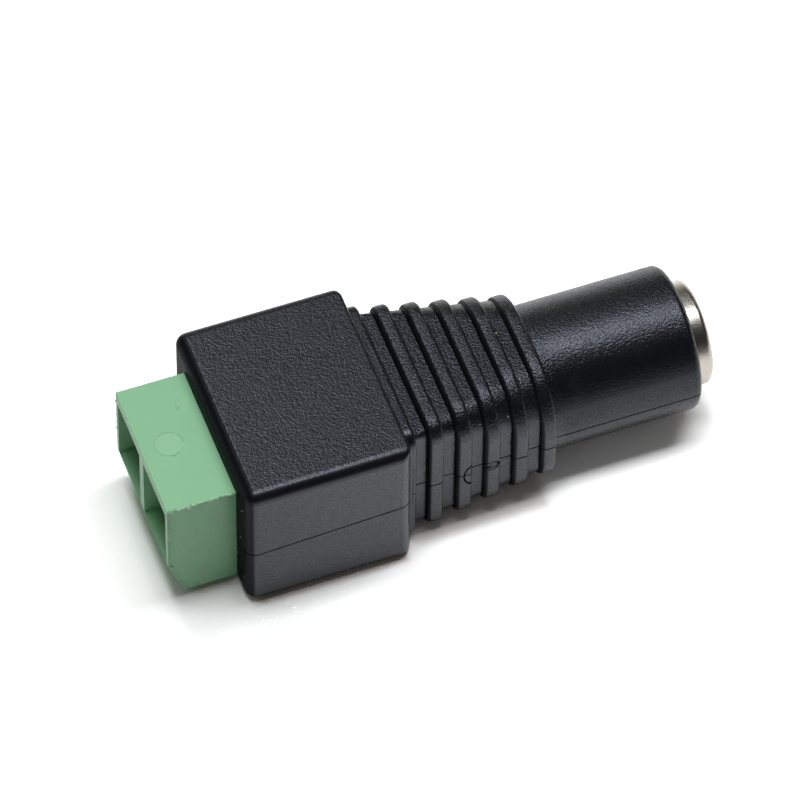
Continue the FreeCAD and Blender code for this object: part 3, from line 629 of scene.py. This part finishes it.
def rounded_box():
    """The box round the terminal: the upper and lower edge of its rear face are nearly sharp."""
    box = block_between("Moulding", (BLOCK_SHOW, -BOX_HALF, 0), (BOX_END, BOX_HALF, BOX_TOP))

    def level_rear_edge(corners):
        return across_x(corners) and near(corners[0].x, BOX_END) and near(corners[0].z, corners[1].z)

    edit_where(box, "EDGE", level_rear_edge)
    bpy.ops.transform.edge_bevelweight(value=REAR_SHARE)
    bpy.ops.mesh.select_all(action="INVERT")
    bpy.ops.transform.edge_bevelweight(value=1.0)
    done(box)
    rounds = box.modifiers.new("Edges", "BEVEL")
    rounds.limit_method = "WEIGHT"
    rounds.width = BOX_ROUND * MM
    rounds.segments = 8
    bpy.ops.object.modifier_apply(modifier=rounds.name)
    return box


def scar(shell, x, y, z, width, height, tilt):
    """The thin ring that a gate or an ejector left in the near side of a rib."""
    bpy.ops.object.select_all(action="DESELECT")
    turn = (math.radians(90), math.radians(tilt), 0)
    bpy.ops.mesh.primitive_torus_add(major_radius=width * MM / 2, minor_radius=SCAR_WIRE * MM,
                                     major_segments=64, minor_segments=8, location=spot(x, y, z),
                                     rotation=turn)
    bpy.context.object.scale = (1, height / width, SCAR_REACH)
    cut(shell, settle(bpy.context.object, "ScarRing"))


def black_moulding():
    """Box, collar, ribs and nose in one, hollow where the terminal, the core and the socket sit."""
    shell = rounded_box()
    unite(shell, tapered_neck())
    unite(shell, rounded_bar("Collar", BOX_END - BOX_ROUND, COLLAR_END, COLLAR, rounds=8))
    for number, start in enumerate(RIB_STARTS):
        unite(shell, rounded_bar(f"Rib{number}", start, start + RIB_WIDTH, rib_section(number)))
    nose = rod_between("Nose", NOSE_RADIUS, (NOSE_START, 0, AXIS_HEIGHT), (NOSE_END, 0, AXIS_HEIGHT), 128)
    bevel(nose, lambda corners: across_x(corners) and near(corners[0].x, NOSE_END), NOSE_ROUND, 6)
    unite(shell, nose)
    seam_round(shell)
    for place in SCARS:
        scar(shell, *place)
    cut(shell, block_between("BlockRoom", (BLOCK_SHOW - 1, -BLOCK_HALF, BLOCK_FLOOR),
                             (BLOCK_DEPTH, BLOCK_HALF, BLOCK_TOP)))
    cut(shell, block_between("CoreRoom", *CORE_ROOM))
    back, front = SOCKET_ROOM
    outline = [(back, 0.0), (front, 0.0), (front, SLEEVE_RADIUS), (FLANGE_X, SLEEVE_RADIUS),
               (FLANGE_X, CUP_RADIUS), (back, CUP_RADIUS)]
    cut(shell, turned("SocketRoom", outline))
    return smooth(shell)


# The green terminal.

BLOCK_HALF = 5.0
BLOCK_FLOOR = 0.5
BLOCK_TOP = 9.6
BLOCK_DEPTH = 7.6
BLOCK_EDGE = 0.05
CHAMFER_RUN = 1.1
ENTRY_FLOOR = 3.5
ENTRY_ROOF = 8.8
ENTRY_WIDTH = 4.25
ENTRY_DEPTH = 1.4
POLE = 2.5
SCREW_X = 3.0
MARK_X = 1.9
MARK_RADIUS = 0.92
MARK_DEPTH = 0.012
POCKET_FLOOR = 2.6
POCKET_END = 4.6
BAR_SLOT_HALF = 1.45
BAR_SLOT = (5.625, 6.325)

# Radius, low end and high end of each step of a screw's well.
SCREW_WELL = ((1.35, 0.0, 0.81), (1.55, 0.8, 2.1), (1.3, 2.0, 2.7))


def upright_rod(name, radius, sign, low, high, sides=64):
    """A cylinder on the axis of one pole's screw."""
    return rod_between(name, radius, (SCREW_X, sign * POLE, low), (SCREW_X, sign * POLE, high), sides, "Z")


def burr(name, low, high, cuts, jitter, seed, lean=0.0):
    """A torn ridge of flash along an edge: a thin bar, leant if need be, cut short and roughened."""
    ridge = block_between(name, low, high)
    longest = max((high[axis] - low[axis], axis) for axis in range(3))[1]
    edit_where(ridge, "VERT", lambda corners: near(corners[0].z, low[2]))
    bpy.ops.transform.translate(value=(lean * MM, 0, 0))
    done(ridge)

    def lengthwise(corners):
        return abs(corners[0][longest] - corners[1][longest]) > (high[longest] - low[longest]) / 2

    edit_where(ridge, "EDGE", lengthwise)
    bpy.ops.mesh.subdivide(number_cuts=cuts)
    bpy.ops.mesh.select_all(action="SELECT")
    bpy.ops.transform.vertex_random(offset=jitter * MM, uniform=0.1, seed=seed)
    return done(ridge)


def crumb(name, place, width, seed, flatness=0.5):
    """A small rough lump on a surface."""
    bpy.ops.object.select_all(action="DESELECT")
    bpy.ops.mesh.primitive_ico_sphere_add(subdivisions=2, radius=width * MM / 2, location=spot(*place))
    bpy.context.object.scale = (1, 0.8, flatness)
    lump = settle(bpy.context.object, name)
    edit_all(lump)
    bpy.ops.transform.vertex_random(offset=0.12 * width * MM, uniform=0.3, seed=seed)
    return done(lump)


def mark_ring():
    """The raised rim of the round ejector mark on the block's top."""
    bpy.ops.object.select_all(action="DESELECT")
    bpy.ops.mesh.primitive_torus_add(major_radius=MARK_RADIUS * MM, minor_radius=0.022 * MM,
                                     major_segments=64, minor_segments=8,
                                     location=spot(MARK_X, 0, BLOCK_TOP - 0.004))
    ring = settle(bpy.context.object, "MarkRing")
    edit_all(ring)
    bpy.ops.transform.vertex_random(offset=0.008 * MM, uniform=0.1, seed=9)
    return done(ring)


def flash():
    """Burrs where the green block's mould halves met, crumbs round its ejector mark and two scratches."""
    half, top, sill, floor = BLOCK_HALF, BLOCK_TOP, ENTRY_FLOOR, BLOCK_FLOOR
    first = burr("Flash", (0.06, -half - 0.10, top - 0.14), (1.6, -half + 0.08, top + 0.05), 11, 0.17, 3)
    rest = [
        burr("NearTop", (1.4, -half - 0.05, top - 0.09), (4.62, -half + 0.04, top + 0.02), 22, 0.09, 5),
        burr("NearFront", (0.08, -half - 0.07, 5.9), (0.16, -half + 0.03, top), 22, 0.08, 7),
        burr("NearFoot", (0.08, -half - 0.05, sill), (0.14, -half + 0.03, 5.9), 14, 0.05, 11),
        burr("FarFront", (0.07, half - 0.03, sill), (0.16, half + 0.14, top - 0.15), 33, 0.10, 13),
        burr("FarSlope", (0.08, half - 0.03, floor + 0.05), (0.16, half + 0.12, sill), 18, 0.09, 17,
             CHAMFER_RUN),
        burr("NearSlope", (0.10, -half - 0.03, floor + 0.05), (0.16, -half + 0.02, sill), 14, 0.03, 19,
             CHAMFER_RUN),
        mark_ring(),
        crumb("EdgeLump", (0.3, -half + 0.05, top), 0.34, 2),
        crumb("SillLump", (0.25, -half, sill + 0.05), 0.26, 12),
        crumb("MarkLump", (1.92, -0.95, top), 0.20, 4),
        crumb("MarkSpeck", (1.66, -0.86, top), 0.15, 6),
        crumb("MarkChip", (2.18, -0.84, top), 0.12, 8),
        crumb("ScratchLong", (3.45, 2.72, top), 0.42, 10, 0.12),
        crumb("ScratchShort", (3.3, 2.45, top), 0.26, 14, 0.12),
    ]
    return smooth(join(first, rest), 60)


# Place and width of each tan speck.
DUST = [((24.3, 0.6, 10.39), 0.16), ((23.05, -4.45, 9.13), 0.13), ((23.15, -4.76, 8.78), 0.12),
        ((18.34, -5.72, 8.14), 0.12), ((19.25, -5.26, 5.65), 0.12), ((23.0, -5.17, 4.9), 0.16),
        ((23.12, -5.17, 4.72), 0.12), ((22.92, -5.17, 4.7), 0.1), ((24.66, -5.13, 4.36), 0.14),
        ((21.15, -4.93, 9.1), 0.12), ((4.63, -6.15, 9.1), 0.12), ((4.63, -5.88, 5.87), 0.13),
        ((4.63, -5.24, 3.33), 0.11), ((4.63, -5.9, 6.5), 0.07), ((4.63, -6.4, 2.2), 0.08)]


def dust():
    """Tan specks lying on the moulding."""
    specks = [crumb(f"Dust{number}", place, width, number, 0.8) for number, (place, width) in enumerate(DUST)]
    return smooth(join(specks[0], specks[1:]), 60)


def green_block():
    """The terminal's housing with its entries, cage pockets, bar slots and screw wells."""
    block = block_between("TerminalHousing", (0, -BLOCK_HALF, BLOCK_FLOOR),
                          (BLOCK_DEPTH, BLOCK_HALF, BLOCK_TOP))
    slope_normal = Vector((ENTRY_FLOOR - BLOCK_FLOOR, 0, CHAMFER_RUN)).normalized()
    edit_all(block)
    bpy.ops.mesh.bisect(plane_co=spot(0, 0, ENTRY_FLOOR), plane_no=slope_normal, use_fill=True,
                        clear_inner=True)
    done(block)
    bevel(block, lambda corners: True, BLOCK_EDGE, 2)
    for _, sign in SIDES:
        middle = sign * POLE
        left, right = middle - ENTRY_WIDTH / 2, middle + ENTRY_WIDTH / 2
        cut(block, block_between("EntryRoom", (-1, left, ENTRY_FLOOR),
                                 (ENTRY_DEPTH + 0.01, right, ENTRY_ROOF)))
        cut(block, block_between("CageRoom", (ENTRY_DEPTH, left, POCKET_FLOOR),
                                 (POCKET_END, right, ENTRY_ROOF)))
        cut(block, block_between("BarRoom", (POCKET_END - 0.1, middle - BAR_SLOT_HALF, BAR_SLOT[0]),
                                 (BLOCK_DEPTH + 1, middle + BAR_SLOT_HALF, BAR_SLOT[1])))
        for radius, low, high in SCREW_WELL:
            cut(block, upright_rod("ScrewRoom", radius, sign, low, high))
    cut(block, rod_between("MarkRoom", MARK_RADIUS, (MARK_X, 0, BLOCK_TOP - MARK_DEPTH),
                           (MARK_X, 0, BLOCK_TOP + 1), 64, "Z"))
    return smooth(block)


# Metal parts.

SLEEVE_BORE = 2.85
SLEEVE_BACK = 26.0
FINGER_BORE = 2.7
FINGER_RADIUS = 3.35
FLANGE_THICKNESS = 0.6
MOUTH_ROUND = 0.4
BORE_ROUND = 0.2
SLIT_LENGTH = 4.0
SLIT_HALF = 0.25


def socket_sleeve():
    """The socket's outer contact: rounded mouth, flange, spring fingers and solder spur."""
    mouth, roots = TOTAL_LENGTH, SLEEVE_BACK + SLIT_LENGTH
    flange_back = FLANGE_X - FLANGE_THICKNESS
    outline = [(SLEEVE_BACK, FINGER_BORE), (roots, SLEEVE_BORE), (mouth, SLEEVE_BORE),
               (mouth, SLEEVE_RADIUS),
               (FLANGE_X, SLEEVE_RADIUS), (FLANGE_X, CUP_RADIUS), (flange_back, CUP_RADIUS),
               (flange_back, SLEEVE_RADIUS), (roots, SLEEVE_RADIUS), (SLEEVE_BACK, FINGER_RADIUS)]
    sleeve = turned("SocketSleeve", outline, steps=128)

    def at_radius(radius):
        def test(corners):
            return all(near(corner.x, mouth) and
                       near(math.hypot(corner.y, corner.z - AXIS_HEIGHT), radius, 0.01) for corner in corners)
        return test

    bevel(sleeve, at_radius(SLEEVE_RADIUS), MOUTH_ROUND, 8)
    bevel(sleeve, at_radius(SLEEVE_BORE), BORE_ROUND, 4)
    for number in range(2):
        slit = block_between("Slit", (SLEEVE_BACK - 1, -SLIT_HALF, AXIS_HEIGHT - 5),
                             (roots, SLIT_HALF, AXIS_HEIGHT + 5))
        if number:
            edit_all(slit)
            bpy.ops.transform.rotate(value=math.radians(90), orient_axis="X",
                                     center_override=spot(0, 0, AXIS_HEIGHT))
            done(slit)
        cut(sleeve, slit)
    spur = block_between("Spur", (19.0, -3.25, 5.605), (SLEEVE_BACK + 0.2, -2.65, 6.325))
    cut(spur, rod_between("SpurGroove", 0.45, (18.0, -POLE, 6.575), (21.4, -POLE, 6.575), 32))
    unite(sleeve, spur)
    return smooth(sleeve)


PIN_BACK = 21.9
PIN_TIP = 37.2
PIN_RADIUS = 1.0
RIVET_RADIUS = 1.05
TAIL_RADIUS = 0.7
PIN_COLLAR_RADIUS = 1.6


def centre_pin():
    """The socket's inner contact: riveted tail, collar and a pin with a chamfered tip."""
    outline = [(PIN_BACK, 0), (PIN_TIP, 0), (PIN_TIP, 0.6), (36.8, PIN_RADIUS), (26.2, PIN_RADIUS),
               (26.2, PIN_COLLAR_RADIUS), (25.6, PIN_COLLAR_RADIUS), (25.6, PIN_RADIUS), (24.1, PIN_RADIUS),
               (24.1, TAIL_RADIUS), (22.2, TAIL_RADIUS), (22.2, RIVET_RADIUS), (PIN_BACK, RIVET_RADIUS)]
    pin = turned("SocketPin", outline, steps=64, closed=False)
    return smooth(pin)


CAGE_FRONT = 1.45
CAGE_BACK = 4.55
CAGE_LOW = 4.525
CAGE_TOP = 8.75
CAGE_HALF = 2.075
CAGE_WALL = 0.5
CAGE_EDGE = 0.05
WINDOW_FLOOR = 5.525
WINDOW_ROOF = 8.25
SCREW_HOLE = 1.3
RIDGE_PLACES = (1.95, 2.65, 3.35, 4.05)
RIDGE_LOW = 8.15
RIDGE_TOP = 8.4
RIDGE_HALF = 0.12
RIDGE_INSET = 0.4


def clamp_cage(side, sign):
    """A cage folded from strip: a plain hole for the screw below, ridges that grip the wire above."""
    left, right = sign * POLE - CAGE_HALF, sign * POLE + CAGE_HALF
    cage = block_between(f"Cage_{side}", (CAGE_FRONT, left, CAGE_LOW), (CAGE_BACK, right, CAGE_TOP))
    bevel(cage, along_x, 0.3, 6)
    cut(cage, block_between("Window", (0, left + CAGE_WALL, WINDOW_FLOOR),
                            (6, right - CAGE_WALL, WINDOW_ROOF)))
    cut(cage, upright_rod("ThreadRoom", SCREW_HOLE, sign, 4.0, 5.6))
    for x in RIDGE_PLACES:
        ridge = block_between("Ridge", (x - RIDGE_HALF, left + RIDGE_INSET, RIDGE_LOW),
                              (x + RIDGE_HALF, right - RIDGE_INSET, RIDGE_TOP))
        bevel(ridge, lambda corners: all(near(corner.z, RIDGE_LOW) for corner in corners), 0.08, 2)
        unite(cage, ridge)

    def rim(corners):
        return across_x(corners) and (near(corners[0].x, CAGE_FRONT) or near(corners[0].x, CAGE_BACK))

    bevel(cage, rim, CAGE_EDGE, 2)
    return smooth(cage)


HEAD_RADIUS = 1.5
HEAD_LOW = 0.85
HEAD_TOP = 2.05
SHANK_RADIUS = 1.08
SHANK_TOP = 5.505
SLOT_HALF = 0.275
SLOT_TOP = 1.45
THREAD_LOW = 2.65
THREAD_TURNS = 5
THREAD_PITCH = 0.45
THREAD_ROOT = 1.0
THREAD_CREST = 1.25


def thread(sign):
    """The ridge of a screw's thread: a small triangle wound up round the shank."""
    bpy.ops.object.select_all(action="DESELECT")
    bpy.ops.mesh.primitive_circle_add(vertices=3, radius=MM, fill_type="NOTHING")
    winding = settle(bpy.context.object, "Thread")
    triangle = ((THREAD_CREST, THREAD_PITCH / 2), (THREAD_ROOT, THREAD_PITCH * 0.9),
                (THREAD_ROOT, THREAD_PITCH * 0.1))
    middle = spot(SCREW_X, sign * POLE, THREAD_LOW)
    for number, (radius, rise) in enumerate(triangle):
        place = spot(SCREW_X + radius, sign * POLE, THREAD_LOW + rise)
        corner = winding.data.vertices[number].co.copy()
        edit_where(winding, "VERT", lambda corners: (corners[0] - back_to_mm(corner)).length < CLOSE)
        bpy.ops.transform.translate(value=place - middle - corner)
        done(winding)
    screw = winding.modifiers.new("Winding", "SCREW")
    screw.axis = "Z"
    screw.angle = math.tau
    screw.screw_offset = THREAD_PITCH * MM
    screw.iterations = THREAD_TURNS
    screw.steps = 40
    screw.render_steps = 40
    bpy.ops.object.modifier_apply(modifier=screw.name)
    edit_all(winding)
    bpy.ops.transform.translate(value=middle)
    bpy.ops.mesh.select_all(action="DESELECT")
    bpy.ops.mesh.select_non_manifold()
    bpy.ops.mesh.edge_face_add()
    done(winding)
    return weld(winding)


def clamp_screw(side, sign):
    """A slotted screw, head down, with its thread."""
    head = upright_rod(f"Screw_{side}", HEAD_RADIUS, sign, HEAD_LOW, HEAD_TOP, 96)
    bevel(head, lambda corners: all(near(corner.z, HEAD_LOW) for corner in corners), 0.15, 4)
    shank = upright_rod("Shank", SHANK_RADIUS, sign, 1.9, SHANK_TOP)
    bevel(shank, lambda corners: all(near(corner.z, SHANK_TOP) for corner in corners), 0.2, 3)
    unite(head, shank)
    cut(head, block_between("Slot", (1, sign * POLE - SLOT_HALF, 0), (5, sign * POLE + SLOT_HALF, SLOT_TOP)))
    join(head, [thread(sign)])
    return smooth(head)


# The adapter.

shell_finish = black_plastic()
nickel_finish = nickel()
zinc_finish = zinc()
tin_finish = tin()
cup_finish = moulded("BlackMouldedCup", (0.012, 0.012, 0.013), (0.02, 0.02, 0.021), 0.42)
natural_finish = moulded("NaturalPlastic", (0.58, 0.55, 0.46), (0.66, 0.63, 0.55), 0.45)
red_finish = moulded("RedInsulation", (0.30, 0.012, 0.010), (0.38, 0.020, 0.014), 0.35)
black_finish = moulded("BlackInsulation", (0.012, 0.012, 0.013), (0.022, 0.022, 0.024), 0.35)
copper_finish = copper()
solder_finish = solder()

dress(black_moulding(), shell_finish, "housing", "black_shell", "shell")
dress(green_block(), green_plastic(), "housing", "green_housing", "terminal_block")
dress(flash(), pale_flash(), "housing", "green_housing")
dress(dust(), moulded("TanDust", (0.30, 0.25, 0.18), (0.42, 0.36, 0.27), 0.6), "housing", "black_shell")
dress(socket_sleeve(), nickel_finish, "housing", "nickel_plated_brass", "jack_sleeve")
dress(centre_pin(), nickel_finish, "housing", "nickel_plated_brass", "centre_pin")
for side, sign in SIDES:
    dress(clamp_cage(side, sign), zinc_finish, f"cage_{side}", "zinc_plated_steel", f"clamp_cage_{side}")
    dress(clamp_screw(side, sign), zinc_finish, f"screw_{side}", "zinc_plated_steel", f"clamp_screw_{side}")

KEPT = {"jack_insulator": cup_finish, "pin_lug": tin_finish, "inner_mould": natural_finish,
        "contact_bar": tin_finish, "link_wire": copper_finish, "link_jacket_left": red_finish,
        "link_jacket_right": black_finish, "solder": solder_finish}
for name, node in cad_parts.items():
    for start, finish in KEPT.items():
        if name.startswith(start):
            node.data.materials.clear()
            node.data.materials.append(finish)


# Floor, light and camera, in metres.

FLOOR_SIZE = 6.0
FLOOR_GAIN = 1.5

# Start, end, near edge, depth and strength of the warm shade where the adapter meets the floor.
CONTACTS = [(-0.0179, -0.0146, -0.0050, 0.0006, 0.5), (-0.0142, -0.0034, -0.0071, 0.0006, 0.8),
            (-0.0028, 0.0066, -0.0059, 0.0011, 0.5)]
ROOM_RADIUS = 1.6
ROOM_HEIGHT = 1.3
ROOM_LIGHT = 0.13
LAMP_COLOUR = (0.93, 0.965, 1.0)

# Name, size, place and radiance of each lamp. Both look straight down.
LAMPS = [("StripLight", (0.47, 0.126), (0.11, 0.03, 0.60), 12.0),
         ("BackLight", (0.15, 0.87), (-0.03, 0.385, 0.60), 4.8)]

CAMERA_PLACE = (-0.105083, -0.272963, 0.409060)
CAMERA_FORWARD = (0.20858, 0.54938, -0.80912)
CAMERA_ROLL = math.radians(0.775)
FOCAL_LENGTH = 348.03
SENSOR_WIDTH = 36.0


def studio_floor():
    """A table that looks white by itself and in reflections, with a few glints, painted warm shadow where the
    adapter meets it and painted shade towards the green block's end, and lights the part less.
    """
    bpy.ops.object.select_all(action="DESELECT")
    bpy.ops.mesh.primitive_plane_add(size=FLOOR_SIZE, location=(0, 0, 0))
    floor = bpy.context.object
    floor.name = "Floor"
    table = Finish("WhiteTable")
    table.tree.nodes.remove(table.shader)
    rays = table.add("ShaderNodeLightPath", {}, {})
    seen = Tone(table, rays.outputs["Is Camera Ray"]).highest(Tone(table, rays.outputs["Is Glossy Ray"]))
    seen = seen.highest(Tone(table, rays.outputs["Is Transmission Ray"]))
    along, across, _ = table.axes(table.place)
    cloud = table.noise(3.0, detail=2.0)
    glint = table.cells(0.33).falling(0.05, 0.16) * table.noise(1.1, detail=2.0).rising(0.35, 0.45)
    tone = table.blend(cloud, (0.97, 0.945, 0.92), (0.98, 0.955, 0.93))
    # Painted warm contact shadow: strips of darker colour on the table along the adapter's lower edges.
    for start, end, edge, reach, share in CONTACTS:
        painted_contact_shadow = along.rising(start - 0.0002, start + 0.001) * along.falling(end - 0.0004, end + 0.0004)
        painted_contact_shadow = painted_contact_shadow * across.rising(edge - reach, edge) * across.falling(edge + 0.003, edge + 0.004)
        tone = table.blend(painted_contact_shadow * share, tone, (0.30, 0.24, 0.19))
    tone = table.blend(glint, tone, (1.9, 1.9, 1.9))
    # Painted shade: the table is drawn darker towards the green block's end than further along.
    gain_with_painted_shade = FLOOR_GAIN * (0.92 + 0.2 * along.rising(-0.018, -0.002))
    bright = table.add("ShaderNodeVectorMath", {"operation": "SCALE"}, {0: tone, "Scale": gain_with_painted_shade}).outputs[0]
    matt = table.add("ShaderNodeBsdfDiffuse", {}, {"Color": (0.66, 0.655, 0.65)}).outputs[0]
    white = table.add("ShaderNodeBsdfDiffuse", {}, {"Color": bright}).outputs[0]
    table.show(table.add("ShaderNodeMixShader", {}, {0: seen, 1: matt, 2: white}).outputs[0])
    floor.data.materials.append(table.material)


def softbox(name, size, place, radiance):
    """A rectangular lamp whose surface has the same radiance at any size."""
    lamp_data = bpy.data.lights.new(name, "AREA")
    lamp_data.shape = "RECTANGLE"
    lamp_data.size, lamp_data.size_y = size
    lamp_data.energy = radiance * math.pi * size[0] * size[1]
    lamp_data.color = LAMP_COLOUR
    lamp = bpy.data.objects.new(name, lamp_data)
    lamp.location = place
    bpy.context.scene.collection.objects.link(lamp)


def room():
    """White to the eye and in reflections, and a weak light on everything else."""
    world = bpy.data.worlds.new("Room")
    bpy.context.scene.world = world
    world.use_nodes = True
    tree = world.node_tree
    background = tree.nodes["Background"]
    rays = tree.nodes.new("ShaderNodeLightPath")
    total = rays.outputs["Is Camera Ray"]
    for other in ("Is Glossy Ray", "Is Transmission Ray"):
        highest = tree.nodes.new("ShaderNodeMath")
        highest.operation = "MAXIMUM"
        tree.links.new(total, highest.inputs[0])
        tree.links.new(rays.outputs[other], highest.inputs[1])
        total = highest.outputs[0]
    strength = tree.nodes.new("ShaderNodeMapRange")
    tree.links.new(total, strength.inputs["Value"])
    strength.inputs["To Min"].default_value = ROOM_LIGHT
    strength.inputs["To Max"].default_value = 1.0
    tree.links.new(strength.outputs[0], background.inputs["Strength"])
    background.inputs["Color"].default_value = (1.0, 1.0, 1.0, 1.0)


def dark_room():
    """Walls and ceiling that show only in reflections: black, with a pale warm backdrop low behind."""
    bpy.ops.object.select_all(action="DESELECT")
    bpy.ops.mesh.primitive_cylinder_add(vertices=48, radius=ROOM_RADIUS, depth=ROOM_HEIGHT,
                                        end_fill_type="NGON", location=(0, 0, ROOM_HEIGHT / 2 - 0.02))
    walls = bpy.context.object
    bpy.ops.object.transform_apply(location=True, rotation=True, scale=True)
    walls.name = "DarkRoom"
    edit_where(walls, "FACE", lambda corners: all(corner.z < 0 for corner in corners))
    bpy.ops.mesh.delete(type="FACE")
    done(walls)
    paint = Finish("DarkRoom")
    paint.tree.nodes.remove(paint.shader)
    _, back, height = paint.axes(paint.place)
    backdrop = back.rising(0.2 * ROOM_RADIUS, 0.9 * ROOM_RADIUS) * height.falling(0.35, 0.7)
    tone = paint.blend(backdrop, (0.010, 0.010, 0.011), (0.42, 0.38, 0.33))
    paint.show(paint.add("ShaderNodeEmission", {}, {"Color": tone, "Strength": 1.0}).outputs[0])
    walls.data.materials.append(paint.material)
    walls.visible_camera = False
    walls.visible_diffuse = False
    walls.visible_shadow = False
    walls.visible_transmission = False


def camera():
    """The photograph's view of the adapter."""
    forward = Vector(CAMERA_FORWARD).normalized()
    level = forward.cross(Vector((0, 0, 1))).normalized()
    upright = level.cross(forward)
    right = level * math.cos(CAMERA_ROLL) + upright * math.sin(CAMERA_ROLL)
    up = upright * math.cos(CAMERA_ROLL) - level * math.sin(CAMERA_ROLL)
    data = bpy.data.cameras.new("Camera")
    data.lens = FOCAL_LENGTH
    data.sensor_width = SENSOR_WIDTH
    data.clip_start = 0.01
    data.clip_end = 20.0
    view = bpy.data.objects.new("Camera", data)
    bpy.context.scene.collection.objects.link(view)
    turn = Matrix((right, up, -forward)).transposed().to_4x4()
    view.matrix_world = Matrix.Translation(CAMERA_PLACE) @ turn
    bpy.context.scene.camera = view


studio_floor()
for lamp in LAMPS:
    softbox(*lamp)
room()
dark_room()
camera()
bpy.context.scene.view_settings.view_transform = "Standard"
